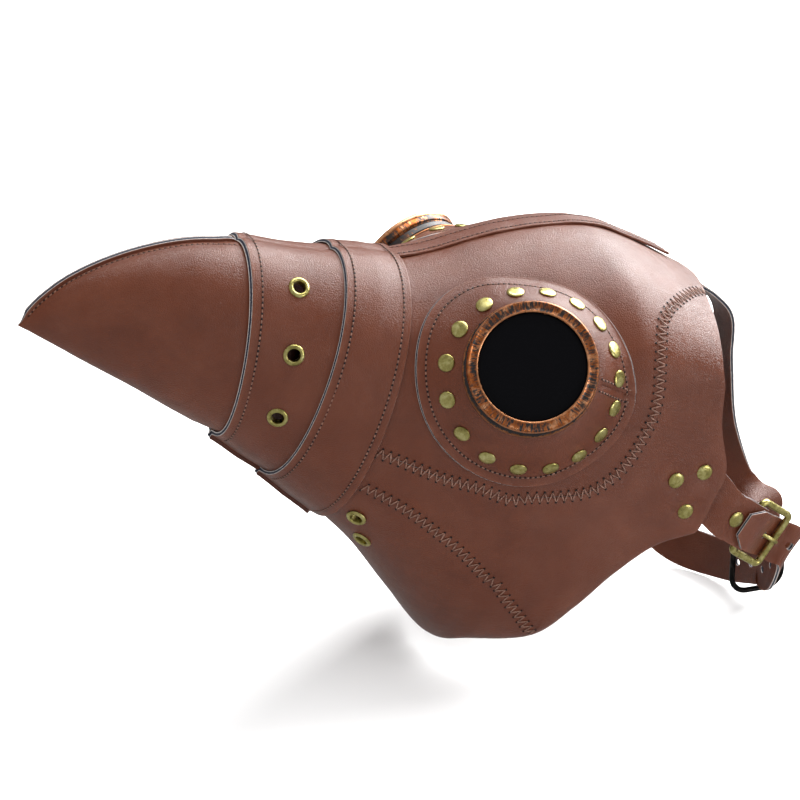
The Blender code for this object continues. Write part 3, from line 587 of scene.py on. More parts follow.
# ---------------------------------------------------------------- beak band
# A sleeve over the tip's rear end, closed by a raw seam underneath, with a stitched front edge and
# three brass eyelets down each side.
def sleeve(first, last, off, fin, fin_until, wave):
    """Place function of a sleeve whose cut edges meet under the beak."""
    def place(u, w):
        q = first + (last - first) * u
        across = 1 - abs(2 * w - 1)         # 0 on the raw edge below, 1 on top
        side = np.where(w < 0.5, 1, -1)
        share = 0.03
        row = station(q)
        half = LEATHER / MM + 0.15
        root = v_at(half, row[:, 4] + off(q))
        v = 1 - (root + (1 - root) * np.clip((across - share) / (1 - share), 0, 1))
        skived = q - 0.06 * (u < 1e-6)
        outer, inner = skin(q, v * side, off(q)), skin(skived, v * side, off(q) - LEATHER / MM)
        drop = np.clip(1 - across / share, 0, 1) * fin * np.clip((fin_until - q) / 0.2, 0, 1)
        drop += 1.6 * np.exp(-abs(outer[:, 1]) / MM / 4) * np.clip((fin_until + 0.2 - q) / 0.4, 0, 1)
        down = skin_normal(q, 1 + 0 * q)
        outer += down * (drop * MM)[:, None]
        inner += down * (drop * MM)[:, None]
        close = np.clip((across - share) / 0.03, 0, 1)
        inner[:, 1] = np.where(across < 0.3, -side * np.maximum(abs(inner[:, 1]) * close, 0.08 * MM), inner[:, 1])
        puff = ripple(outer, wave, 0.28) * np.clip(across * 4, 0, 1)
        outer += skin_normal(q, v * side) * (puff * MM)[:, None]
        inner += skin_normal(q, v * side) * (puff * MM)[:, None]
        edge = np.minimum(q - first, last - q) * 20
        worn = np.maximum(near_edge(edge, 3.5), near_edge(across * 150, 4))
        # The seam mask paints shade along the stitch row and on the raw seam fin below.
        seam = np.maximum(near_edge(abs(edge - 3.8), 1.6), 1.6 * (across < 0.032))
        return outer, inner, worn, seam
    return place


BAND_FIRST, BAND_LAST, EYELET_HOLE = 5.0, 7.7, 3.35 * MM
BAND_EYELETS = [(5.96, .12), (6.0, .395), (6.05, .7)]
band_holes, eyelet_spots = [], []
for side in (1, -1):
    for q, s in BAND_EYELETS:
        at, n = spot(q, s, side, 1.0)
        band_holes.append((at, n, EYELET_HOLE, 8 * MM))
        eyelet_spots.append(("band_eyelet_%s%d" % ("L" if side > 0 else "R", len(eyelet_spots) % 3 + 1), at, n))
band = sheet_piece("band", 60, 240, sleeve(BAND_FIRST, BAND_LAST, lambda q: 1.0 + 0 * q, 2.0, 7.1, 15),
                   mask_leather, band_holes, closed=True)
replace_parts(band, "beak_band")
around = np.linspace(0.03, 0.97, 150)
both_ways = np.concatenate([-around[::-1], around])
sew("band", [skin_row(BAND_FIRST + 0.19, both_ways, 1.05)])

# ---------------------------------------------------------------- collar
# A wider sleeve of the same leather that laps the band in front and the face behind. It is closed by
# a raw seam underneath and held by one stitched row along each edge.
COLLAR_FIRST, COLLAR_LAST = 7.0, 9.0


def collar_off(q):
    return 3.1 - 1.0 * np.clip((q - 8) / 0.9, 0, 1)


collar = sheet_piece("collar", 56, 260, sleeve(COLLAR_FIRST, COLLAR_LAST, collar_off, 2.0, 9.5, 19), mask_leather,
                     closed=True)
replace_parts(collar, "beak_collar")
sew("collar", [skin_row(COLLAR_FIRST + 0.21, both_ways, 3.15), skin_row(COLLAR_LAST - 0.22, both_ways, 2.2)])

# ---------------------------------------------------------------- brow panels
# Left and right leather panels from the forehead ridge down to the brow seam. They meet under the
# forehead strip, and each is cut out behind its goggle.
EYE, EYE_AXIS = Vector((37.1, -72.5, 37.5)) * MM, Vector((-0.2926, -0.8498, 0.4384)).normalized()
BROW_HOLE, SEAM_GAP, FACE_FIRST = 38 * MM, 0.0004, 8.3
PANEL_ROWS = [0, .56, .84, 1], [FACE_FIRST, 15.1, 16.7, 18]      # closer rows at the rear edge


def mirror(v):
    return Vector((v[0], -v[1], v[2]))


def eye_of(side):
    return (EYE, EYE_AXIS) if side > 0 else (mirror(EYE), mirror(EYE_AXIS))


def brow_place(side):
    def place(u, w):
        q = np.interp(u, *PANEL_ROWS)
        top = v_at(0.2, station(q)[:, 4])
        bottom = brow_seam(q) - SEAM_GAP
        v = top + (bottom - top) * w
        base = skin(q, v * side)
        puff = ripple(base, 21, 0.45)
        n = skin_normal(q, v * side)
        outer = base + n * (puff * MM)[:, None]
        inner = skin(q, v * side, 0 * q - LEATHER / MM) + n * (puff * MM)[:, None]
        inner[:, 1] = -side * np.maximum(abs(inner[:, 1]), 0.2 * MM)
        edge = np.minimum((bottom - v) * V_MM, (18 - q) * 22)
        return outer, inner, near_edge(edge, 4), near_edge(edge, 0.9)
    return place


for side, tag in ((1, "L"), (-1, "R")):
    eye, axis = eye_of(side)
    brow = sheet_piece("brow_panel_" + tag, 170, 96, brow_place(side), mask_leather,
                       [(eye, axis, BROW_HOLE, 60 * MM)])
    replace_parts(brow, "brow_" + tag)

# ---------------------------------------------------------------- cheek panels
# The cheek runs from the collar back to the strap tab, butted to the brow above and the chin below
# and joined to both by a zigzag seam.
STRAP_RIVETS = [(16.74, .705), (17.44, .704), (17.36, .869)]


def cheek_place(side, tag):
    def place(u, w):
        q = np.interp(u, *PANEL_ROWS)
        top = brow_seam(q) + SEAM_GAP
        bottom = np.where(q < 14, chin_seam(np.minimum(q, 13.999)) - SEAM_GAP, 1.0)
        v = top + (bottom - top) * w
        base = skin(q, v * side)
        n = skin_normal(q, v * side)
        from_seam = np.minimum(v - top, np.where(q < 14, bottom - v, 1)) * V_MM
        puff = ripple(base, 23, 0.5) * np.clip(from_seam / 14, 0, 1) * MM
        for c, _ in rivet_spots[tag]:
            away = np.linalg.norm(base - np.array(c), axis=1) / MM
            puff = puff - (1.1 * np.exp(-(away / 5.5) ** 2) - 0.35 * np.exp(-((away - 10) / 4) ** 2)) * MM
        outer = base + n * puff[:, None]
        inner = skin(q, v * side, 0 * q - LEATHER / MM) + n * puff[:, None]
        edge = np.minimum(np.minimum((v - top) * V_MM, (bottom - v) * V_MM), (18 - q) * 22)
        return outer, inner, near_edge(edge, 4), near_edge(edge, 0.9)
    return place


rivet_spots = {}
for side, tag in ((1, "L"), (-1, "R")):
    spots = rivet_spots[tag] = [spot(q, s, side) for q, s in STRAP_RIVETS]
    cheek = sheet_piece("cheek_panel_" + tag, 170, 110, cheek_place(side, tag), mask_leather,
                        [(c, n, 1.7 * MM, 6 * MM) for c, n in spots])
    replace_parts(cheek, "cheek_" + tag)

# ---------------------------------------------------------------- chin panel
# One piece of leather folded over the front of the chin and parted behind it around the neck opening.
# Zigzag seams join it to the cheeks, and two brass eyelets are set in each side.
CHIN_EYELETS, CHIN_LAST, CHIN_LAP = [(9.4, .9), (9.82, .955)], 13.97, 0.0006


def chin_place(side):
    def place(u, w):
        q = FACE_FIRST + (CHIN_LAST - FACE_FIRST) * u
        top = chin_seam(q) - CHIN_LAP
        v = top + (1 - top) * w
        outer, inner = skin(q, v * side), skin(q, v * side, 0 * q - LEATHER / MM)
        n = skin_normal(q, v * side)
        puff = ripple(outer, 20, 0.4) * np.clip((1 - v) * 6, 0, 1) * np.clip((v - top) * 15, 0, 1) * MM
        outer, inner = outer + n * puff[:, None], inner + n * puff[:, None]
        middle = (w > 0.9999) & (q <= CHIN_POINT)
        for p in (outer, inner):
            p[:, 1] = np.where(middle, 0, p[:, 1])
        low = np.where(middle, 0.0, 0.35 * MM)
        inner[:, 1] = -side * np.maximum(abs(inner[:, 1]), low)
        edge = np.where(q > CHIN_POINT, np.minimum((v - top) * V_MM, (1 - v) * 200), (v - top) * V_MM)
        return outer, inner, near_edge(edge, 4), near_edge(edge, 0.9)
    return place


for tag, side in (("L", 1), ("R", -1)):
    for i, (q, s) in enumerate(CHIN_EYELETS):
        eyelet_spots.append(("chin_eyelet_%s%d" % (tag, i + 1), *spot(q, s, side)))


chin_holes = [(at, n, EYELET_HOLE, 6 * MM) for name, at, n in eyelet_spots if name.startswith("chin")]
bm = bmesh.new()
for side in (1, -1):
    part = lay_sheet(110, 60, chin_place(side))
    half = bpy.data.meshes.new("chin_half")
    part.to_mesh(half)
    part.free()
    bm.from_mesh(half)
    bpy.data.meshes.remove(half)
bmesh.ops.remove_doubles(bm, verts=bm.verts, dist=2e-6)
for hole in chin_holes:
    punch(bm, *hole)
thicken(bm)
chin = finish_piece("chin_fold", bm, mask_leather, bevel=0.00035)
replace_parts(chin, "chin_panel")

# Zigzag seams over the butted panels, both sides
for side, tag in ((1, "L"), (-1, "R")):
    q = np.interp(np.linspace(0, 1, 500), [0, .5, .85, 1], [9.03, 15.2, 16.6, 17.95])
    brow_line = skin_row(q, brow_seam(q) * side, 0.25)
    q = np.linspace(9.1, 13.95, 260)
    zigzag(tag, [brow_line, skin_row(q, chin_seam(q) * side, 0.25)])

# ---------------------------------------------------------------- forehead strip
# A narrow strip of thinner leather over the seam of the ridge, sewn down by a row along each edge.
# Its front end is tucked under the collar and its rear end is left standing free.
STRIP_WIDTH, STRIP_THICK, STRIP_FIRST, STRIP_LAST = 14.0, 1.3, 8.85, 17.3


def strip_lift(q):
    return 0.12 + 1.4 * np.clip((q - 16.2) / 1.2, 0, 1)


def strip_v(q, y):
    return v_at(abs(y), station(q)[..., 4]) * -np.sign(y)


def strip_place(u, w):
    q = STRIP_FIRST + (STRIP_LAST - STRIP_FIRST) * u
    y = (w - 0.5) * STRIP_WIDTH
    v = strip_v(q, y)
    lift = strip_lift(q) + 0.10 * np.sin(q * 5)
    outer, inner = skin(q, v, lift + STRIP_THICK), skin(q, v, lift)
    edge = STRIP_WIDTH / 2 - abs(y)
    return outer, inner, near_edge(edge, 2.0), near_edge(abs(edge - 2.3), 1.0)


strip = sheet_piece("forehead_strip", 150, 24, strip_place, mask_leather, raw=0.05)
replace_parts(strip, "centre_strip")
q = np.linspace(STRIP_FIRST + 0.05, STRIP_LAST - 0.08, 200)
rows = []
for y in (-STRIP_WIDTH / 2 + 2.3, STRIP_WIDTH / 2 - 2.3):
    v = strip_v(q, y)
    rows.append((skin(q, v, strip_lift(q) + 0.10 * np.sin(q * 5) + STRIP_THICK + 0.05), skin_normal(q, v)))
sew("forehead", rows)

# ---------------------------------------------------------------- eye patches
# An egg-shaped leather dish seats each goggle: flat under the ring, then a soft cone down to a rim that
# lies on the brow. A short stitched dart closes it behind; it is sewn round the rim and riveted.
PATCH_FLAT, PATCH_FALL_END, PATCH_BORE = 30.5, 46.5, 25.0
PATCH_EDGE = [(0, 48.6), (22, 45.5), (46, 43.8), (75, 43.0), (92, 43.6), (108, 46.2), (123, 49.8), (147, 52.8),
              (180, 52.0), (215, 52.4), (250, 52.0), (275, 51.7), (302, 50.6), (328, 51.6), (345, 51.2), (360, 48.6)]
RIVET_COUNT, RIVET_RING, RIVET_SHIFT = 17, 40.4, (1.2, -4.0)
DART_TURN = math.radians(-13)
EDGE_CURVE = curve_through(PATCH_EDGE).T


def edge_radius(turn):
    """Egg-shaped outline: flatter above, drawn out in front and below."""
    return float(np.interp(math.degrees(turn) % 360, *EDGE_CURVE))


def axes_of(axis):
    """Two directions across an axis: level toward the rear, and up the slope."""
    x = Vector((0, 0, 1)).cross(axis).normalized()
    if x.x < 0:
        x = -x
    up = axis.cross(x)
    return x, up if up.z > 0 else -up


def brow_surface(side):
    bm = bmesh.new()
    bmesh.ops.create_grid(bm, x_segments=120, y_segments=90, size=0.5)
    q = np.array([8.0 + 10.0 * (v.co.x + 0.5) for v in bm.verts])
    v_ = np.array([0.01 + 0.75 * (v.co.y + 0.5) for v in bm.verts]) * side
    base = skin(q, v_)
    puff = ripple(base, 21, 0.45) * MM
    for v, p in zip(bm.verts, base + skin_normal(q, v_) * puff[:, None]):
        v.co = p
    bm.normal_update()
    tree = BVHTree.FromBMesh(bm)
    bm.free()
    return tree


def eye_patch(tag, side):
    eye, axis = eye_of(side)
    across, up = axes_of(axis)
    brow_below = brow_surface(side)

    def dish(radius, turn):
        """Point on the dish's face."""
        flat = eye + (across * math.cos(turn) + up * math.sin(turn)) * radius * MM
        hit, n, _, _ = brow_below.ray_cast(flat + axis * 0.06, -axis)
        if hit is None or radius <= PATCH_FLAT:
            return flat
        n = n if n.dot(axis) > 0 else -n
        end = min(PATCH_FALL_END, edge_radius(turn) - 0.8)
        fall = min((radius - PATCH_FLAT) / (end - PATCH_FLAT), 1)
        fall = 0.5 * fall + 0.5 * fall * fall * (3 - 2 * fall)
        off_dart = abs((turn - DART_TURN + math.pi) % (2 * math.pi) - math.pi) * radius
        sink = math.exp(-(off_dart / 0.9) ** 2) * min(max((radius - 32) / 2, 0), 1)
        return flat.lerp(hit + n * (LEATHER + 0.15 * MM), fall) - n * 1.0 * MM * sink

    def facing(radius, turn):
        n = (dish(radius + 0.6, turn) - dish(radius - 0.6, turn)).cross(
            dish(radius, turn + 0.012) - dish(radius, turn - 0.012)).normalized()
        return n if n.dot(axis) > 0 else -n

    bm = bmesh.new()
    bmesh.ops.create_grid(bm, x_segments=200, y_segments=34, size=0.5)
    depth, worn, seam = [bm.verts.layers.float.new(n) for n in ("depth", "worn", "seam")]
    back = bm.verts.layers.float_vector.new("back")
    for v in bm.verts:
        turn, share = 2 * math.pi * (v.co.x + 0.5), v.co.y + 0.5
        out = edge_radius(turn)
        radius = PATCH_BORE + (out - PATCH_BORE) * share
        off_dart = abs((turn - DART_TURN + math.pi) % (2 * math.pi) - math.pi) * radius
        v[worn] = float(near_edge(out - radius, 3.5))
        # The seam mask paints shade along the rim's stitch row and the dart.
        v[seam] = float(max(near_edge(abs(out - radius - 4.0), 1.4), near_edge(off_dart, 1.5) * (radius > 32)))
        v.co = dish(radius, turn)
        v[back] = facing(radius, turn) * -LEATHER
        if share > 0.9999:
            v[back] += (v.co - eye).normalized() * 0.9 * MM
    bmesh.ops.remove_doubles(bm, verts=bm.verts, dist=2e-6)
    thicken(bm)
    patch = finish_piece("eye_dish_" + tag, bm, mask_leather, bevel=0.0003)
    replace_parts(patch, "eye_patch_" + tag)

    def sewn(places):
        pairs = [(dish(r, t), facing(r, t)) for r, t in places]
        return np.array([p for p, _ in pairs]), np.array([n for _, n in pairs])

    rows = [sewn([(edge_radius(t) - 4.0, t) for t in np.linspace(0, 2 * math.pi, 240)])]
    for offset in (-2.8, 2.8):
        rows.append(sewn([(r, DART_TURN + offset / r) for r in np.linspace(33, edge_radius(DART_TURN) - 2, 24)]))
    sew("dish_" + tag, rows)
    spots = []
    for i in range(RIVET_COUNT):
        even = math.radians(1) + 2 * math.pi * i / RIVET_COUNT
        turn = even - math.radians(6.5) * math.sin(even)
        x, y = RIVET_RING * math.cos(turn) + RIVET_SHIFT[0], RIVET_RING * math.sin(turn) + RIVET_SHIFT[1]
        radius, turn = math.hypot(x, y), math.atan2(y, x)
        spots.append((dish(radius, turn), facing(radius, turn)))
    rivet_spots["eye_" + tag] = spots


eye_patch("L", 1)
eye_patch("R", -1)

# ---------------------------------------------------------------- brass rivets and eyelets
# Domed cap rivets and rolled eyelets in antique brass: dull greenish metal, dark in its corners and
# brighter where it is rubbed.
def wear_group():
    """Aged metal: cloudy tarnish, black left in the hollows, fine unevenness and a height."""
    group, tree, given, out = new_group("metal_wear", [("Vector", "Vector"), ("Brush", "Vector"), ("Scale", "Float")],
                                        ("Tarnish", "Black", "Sheen", "Height", "Edge"))
    vector, edge = given["Vector"], tree.attribute("worn")
    black = tree.math("ADD", tree.times(tree.noise(vector, 110, 5, 0.65, 0.8), 0.45),
                      tree.times(tree.noise(given["Brush"], 1.1, 5, 0.7), 0.62))
    for name, value in (("Tarnish", tree.noise(vector, given["Scale"], 5, 0.62, 0.5)),
                        ("Black", tree.math("SUBTRACT", black, tree.times(edge, 0.30))),
                        ("Sheen", tree.noise(vector, tree.times(given["Scale"], 2.0), 4)),
                        ("Height", tree.noise(vector, 1500, 4)), ("Edge", edge)):
        tree.feed(out[name], value)
    return group


WEAR = wear_group()


def metal_material(name, dark, mid, bright, rough, black=0.0):
    """Metal from its dark, middle and rubbed colour; the rubbed colour is laid on rims marked worn, partly as rubbed
    metal and partly as a painted highlight. black is how much blacking is left on it.
    """
    m = Material(name)
    brush = m.put("Attribute")
    brush.attribute_name = "brush"
    wear = m.group(WEAR, Vector=m.place(), Brush=brush.outputs["Vector"], Scale=260)
    colour = m.ramp(wear["Tarnish"], (0.28, dark), (0.5, mid), (0.74, bright))
    # Rims marked worn take the bright colour: rubbed metal, and a painted highlight on the goggle lips.
    colour, metallic = m.mixed(m.times(wear["Edge"], 0.8), colour, bright), 1.0
    if black:
        mask = m.ramp(wear["Black"], (0.60 - 0.16 * black, 0.0), (0.66 - 0.14 * black, 1.0))
        colour = m.mixed(mask, colour, (0.012, 0.010, 0.010))
        metallic = m.math("SUBTRACT", 1.0, m.times(mask, 0.75))
    m.set(Base_Color=colour, Metallic=metallic,
          Roughness=m.ramp(wear["Sheen"], (0.3, rough - 0.08), (0.7, rough + 0.12)))
    m.bump(wear["Height"], 0.25, 0.0002)
    return m.material


brass = metal_material("antique_brass", (0.22, 0.18, 0.05), (0.50, 0.44, 0.15), (0.82, 0.76, 0.36), 0.30)


def lathe(bm, profile, centre, axis, steps, close=True):
    """Spin a profile of (radius, height) in mm round an axis; a closed profile gives a ring."""
    start = [bm.verts.new((r * MM, 0, h * MM)) for r, h in profile]
    edges = [bm.edges.new(pair) for pair in zip(start, start[1:] + (start[:1] if close else []))]
    made = bmesh.ops.spin(bm, geom=start + edges, cent=(0, 0, 0), axis=(0, 0, 1), angle=2 * math.pi,
                          steps=steps, use_merge=True)
    verts = {v for e in edges for v in e.verts}
    grow = set(verts)
    while grow:
        grow = {e.other_vert(v) for v in grow for e in v.link_edges} - verts
        verts |= grow
    bmesh.ops.remove_doubles(bm, verts=list(verts), dist=1e-6)
    verts = [v for v in verts if v.is_valid]
    turn = Vector(axis).to_track_quat("Z", "Y").to_matrix().to_4x4()
    bmesh.ops.transform(bm, matrix=Matrix.Translation(centre) @ turn, verts=verts)


RIVET = [(0, 1.12), (1.4, 1.08), (2.6, 0.98), (3.3, 0.86), (3.75, 0.70), (4.02, 0.45), (4.1, 0.2), (4.0, 0.0),
         (0, -0.05)]


def rivet_mesh(bm, at, n, low=None):
    lathe(bm, [(r, h + 0.1) for r, h in RIVET], at, n, 24, close=False)
    if low is not None:
        lathe(bm, [(0, 0), (1.4, 0), (1.4, -low), (0, -low)], at, n, 12, close=False)
        lathe(bm, [(0, -low), (3.2, -low), (3.5, -low - 0.4), (3.0, -low - 0.9), (0, -low - 1.0)], at, n, 24,
              close=False)


def brass_piece(name, bm, node=None):
    bmesh.ops.recalc_face_normals(bm, faces=bm.faces)
    piece = finish_piece(name, bm, brass, smooth_angle=50)
    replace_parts(piece, node) if node else piece


for tag in ("L", "R"):
    bm = bmesh.new()
    for at, n in rivet_spots["eye_" + tag]:
        rivet_mesh(bm, at, n)
    brass_piece("eye_rivets_" + tag, bm)
    for i, (at, n) in enumerate(rivet_spots[tag]):
        bm = bmesh.new()
        rivet_mesh(bm, at - n * 0.75 * MM, n, 5.4)
        brass_piece("tab_rivet_%s%d" % (tag, i + 1), bm, "strap_rivet_%s%d" % (tag, i + 1))

EYELET = [(3.0, -2.9), (3.0, 0.5), (3.15, 0.9), (3.6, 1.1), (4.3, 1.0), (4.8, 0.65), (5.0, 0.2), (4.5, 0.08),
          (3.3, 0.1), (3.3, -2.3), (4.5, -2.4), (4.6, -2.8), (3.6, -3.1)]
for name, at, n in eyelet_spots:
    bm = bmesh.new()
    lathe(bm, EYELET, at, n, 40)
    brass_piece("rolled_" + name, bm, name)

# ---------------------------------------------------------------- goggles
# Turned metal in two parts, black brushed over copper: a flanged cup clamped through the leather by a
# nut, and a screw cap that holds a thick black lens behind its lip.
copper = metal_material("copper_black", (0.20, 0.050, 0.012), (0.46, 0.135, 0.035), (0.90, 0.47, 0.25), 0.30, 0.72)
blackened = metal_material("blackened", (0.05, 0.022, 0.014), (0.16, 0.055, 0.02), (0.62, 0.26, 0.12), 0.34, 1.25)


def lens_material():
    m = Material("black_lens")
    m.set(Base_Color=(0.002, 0.002, 0.0025), Specular_IOR_Level=0.05,
          Roughness=m.ramp(m.noise(m.place(), 60, 3), (0.3, 0.05), (0.7, 0.09)))
    return m.material


black_lens = lens_material()
CUP = [(21.6, -8.0), (24.3, -8.0), (24.3, 0.2), (31.2, 0.2), (31.4, 0.6), (31.2, 1.1), (30.2, 1.3), (30.0, 1.9),
       (30.5, 2.1), (30.5, 2.6), (29.6, 2.9), (29.2, 3.3), (29.2, 6.2), (28.8, 6.6), (24.7, 6.6), (24.7, 1.6),
       (21.6, 1.6)]
CAP = [(22.8, 2.3), (24.1, 2.3), (24.1, 7.3), (28.3, 7.3), (28.5, 7.7), (29.3, 8.0), (29.6, 8.6), (29.5, 9.4),
       (29.5, 11.0), (29.9, 11.5), (30.1, 12.2), (30.05, 13.0), (29.6, 13.7), (29.0, 13.9), (28.4, 13.6),
       (27.4, 13.3), (26.4, 13.4), (25.8, 13.9), (25.3, 14.05), (24.85, 13.8), (24.7, 13.2), (24.8, 12.8),
       (25.6, 12.8), (25.6, 9.7), (22.8, 9.7)]
LENS = [(0, 12.75), (12, 12.65), (20, 12.4), (24.4, 12.1), (25.2, 11.8), (25.2, 9.95), (0, 9.95)]
NUT = [(24.8, -2.1), (24.8, -5.3), (28.2, -5.3), (30.2, -5.0), (30.4, -4.4), (30.4, -2.3), (30.1, -2.1)]
for side, tag, name in ((1, "L", "left"), (-1, "R", "right")):
    eye, axis = eye_of(side)
    for piece_name, profile, close, material, body, node in (
            ("cup", CUP, True, blackened, "mask", "goggle_cup_"),
            ("cap", CAP, True, copper, "cap_" + name, "lens_cap_"),
            ("lens", LENS, False, black_lens, "lens_" + name, "lens_"),
            ("nut", NUT, True, blackened, "mask", "clamp_nut_")):
        bm = bmesh.new()
        worn = bm.verts.layers.float.new("worn")
        lathe(bm, profile, eye, axis, 128, close)
        bmesh.ops.recalc_face_normals(bm, faces=bm.faces)
        piece = finish_piece("goggle_%s_%s" % (piece_name, tag), bm, material, body, smooth_angle=35)
        if close:
            bevel = piece.modifiers.new("turned_edges", "BEVEL")
            bevel.width, bevel.segments, bevel.limit_method = 0.12 * MM, 2, "ANGLE"
            bevel.angle_limit = math.radians(40)
        brush = piece.data.attributes.new("brush", "FLOAT_VECTOR", "POINT")
        for v in piece.data.vertices:
            d = v.co - eye
            h = d.dot(axis)
            out = d - axis * h
            r = out.length
            # The lips are marked worn: the blacking rubbed off them is wear, and the pale bright copper laid on them
            # is a painted highlight.
            rim = max(near_edge(abs(r / MM - 30.1), 0.7) * (h > 0.011), near_edge(abs(r / MM - 25.1), 0.8)
                      * (h > 0.013), near_edge(abs(r / MM - 31.3), 0.4))
            piece.data.attributes["worn"].data[v.index].value = float(rim)
            turned = out.normalized() * 34 if r > 0 else out
            brush.data[v.index].vector = turned + axis * (h - r) / MM * 0.22
        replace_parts(piece, node + tag)

# ---------------------------------------------------------------- straps
# Two layers of the same leather glued back to back, 2 mm thick with pale-and-navy cut edges. Each path
# row is a place and the direction across the strap, in mm.
strap_leather = leather_material("strap_leather", 1.3, 0.45)
STRAP_T, STRAP_W, SEAT_GAP = 2.0, 24.0, 2.0
BUCKLE_C, U = Vector((164.5, -68.0, -67.5)), Vector((0.80, 0.15, -0.58)).normalized()
up = Vector((0.55, 0.0, 0.83))
up = (up - U * up.dot(U)).normalized()
face_n = U.cross(up).normalized()
if face_n.y > 0:
    face_n = -face_n
bar_l = BUCKLE_C - U * 10.0
FOLD = 3.3


def seat_of(spots):
    """Middle of the strap where it lies inside the cheek tab, its direction and its width direction."""
    n = sum((b for _, b in spots), Vector()).normalized()
    mid = sum((a for a, _ in spots), Vector()) / 3 / MM
    back = Vector((0.88, 0, -0.47))
    back = (back - n * back.dot(n)).normalized()
    return mid - n * (LEATHER / MM + SEAT_GAP + STRAP_T / 2), back, n.cross(back).normalized()


def strap_path(rows):
    """Smooth path through the rows: places, width directions and the length run at each."""
    dense = curve_through([(*p, *w) for p, w in rows], 14)
    pos = dense[:, :3]
    return pos, dense[:, 3:], np.concatenate([[0], np.cumsum(np.linalg.norm(np.diff(pos, axis=0), axis=1))])


def strap_piece(name, rows, widths, holes, node, step, width_cells=22):
    """Flat strap along a smooth path, with its width given at shares of the length."""
    pos, wide, run = strap_path(rows)
    tangent = np.gradient(pos, run, axis=0)
    tangent /= np.linalg.norm(tangent, axis=1, keepdims=True)
    wide = wide - tangent * np.sum(wide * tangent, 1)[:, None]
    wide /= np.linalg.norm(wide, axis=1, keepdims=True)
    normal = np.cross(tangent, wide)
    total = run[-1]

    def place(u, w):
        at = u * total
        p, x, n = (np.stack([np.interp(at, run, a[:, k]) for k in range(3)], -1) for a in (pos, wide, normal))
        width = np.interp(u, [a for a, _ in widths], [b for _, b in widths])
        y = (w - 0.5) * width
        mid = p + x * y[:, None]
        edge = width / 2 - abs(y)
        return ((mid + n * STRAP_T / 2) * MM, (mid - n * STRAP_T / 2) * MM,
                near_edge(np.minimum(edge, np.minimum(at, total - at)), 2.5), 0 * u)

    piece = sheet_piece(name, int(total / step), width_cells, place, strap_leather, holes)
    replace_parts(piece, node)


seat, back, wide = seat_of(rivet_spots["L"])
sign = 1 if wide.dot(up) > 0 else -1
near_rows = [(seat - back * 13, wide * sign), (seat, wide * sign), (seat + back * 13, wide * sign),
             (bar_l - U * 19 + face_n * 2.3, up), (bar_l - U * 13 + face_n * 2.65, up),
             (bar_l - U * 5 + face_n * FOLD * .93, up), (bar_l + face_n * FOLD, up),
             (bar_l + (U + face_n) * FOLD * 0.71, up), (bar_l + U * FOLD, up),
             (bar_l + (U - face_n) * FOLD * 0.71, up), (bar_l - face_n * FOLD, up),
             (bar_l - U * 7 - face_n * 1.7, up), (bar_l - U * 12 + face_n * 0.2, up),
             (bar_l - U * 17 + face_n * 0.1, up)]
fold_c = bar_l - U * 13.5


def rivet_holes(tag):
    return [(c, n, 1.8 * MM, 7 * MM) for c, n in rivet_spots[tag]]


strap_piece("strap_near", near_rows, [(0, STRAP_W + 6), (.22, STRAP_W + 4), (.4, STRAP_W), (1, STRAP_W)],
            rivet_holes("L") + [(fold_c * MM, face_n, 1.8 * MM, 7 * MM),
                                (bar_l * MM + U * FOLD * MM, U, 3.0 * MM, 5 * MM)],
            "side_strap_L", step=0.7)

# The far strap runs round the back, through the wire loop and the buckle, and ends in a clipped tail
seat, back, _ = seat_of(rivet_spots["R"])
far_wide = mirror(wide) * sign
far_rows = [(seat - back * 13, far_wide), (seat, far_wide), (seat + back * 13, far_wide),
            (Vector((146, 70, -62)), Vector((.5, 0, .85))), (Vector((157, 58, -98)), Vector((.6, .2, .75))),
            (Vector((171, 38, -119)), Vector((.3, .3, .9))), (Vector((186, 8, -120)), Vector((.1, .1, .99))),
            (Vector((191.5, -18, -112.2)), Vector((0, 0, 1))), (Vector((191.5, -28, -110.5)), Vector((0, 0, 1)))]
for along_u, out_n in ((27, -2.5), (17, -3.2), (10.2, -3.2), (5, -1.2), (0, 1.7), (-5, 4.3), (-10, 5.9), (-19, 6.0)):
    far_rows.append((BUCKLE_C + U * along_u + face_n * out_n, up))
FAR_W, HOLE_COUNT, HOLE_PITCH = STRAP_W - 2.0, 9, 12.5
path, across, run = strap_path(far_rows)
cross = run[np.argmin(np.linalg.norm(path - np.array(BUCKLE_C + face_n * 1.6), axis=1))]
strap_holes = rivet_holes("R")
for k in range(HOLE_COUNT):
    i = int(np.argmin(abs(run - (cross - HOLE_PITCH * k))))
    t = Vector(path[i + 1] - path[i - 1]).normalized()
    strap_holes.append((Vector(path[i]) * MM, t.cross(Vector(across[i])), 2.0 * MM, 3 * MM))
strap_piece("strap_far", far_rows, [(0, STRAP_W + 6), (.09, STRAP_W + 4), (.2, FAR_W), (.975, FAR_W),
                                    (1, FAR_W * 0.55)], strap_holes, "side_strap_R", step=0.8)

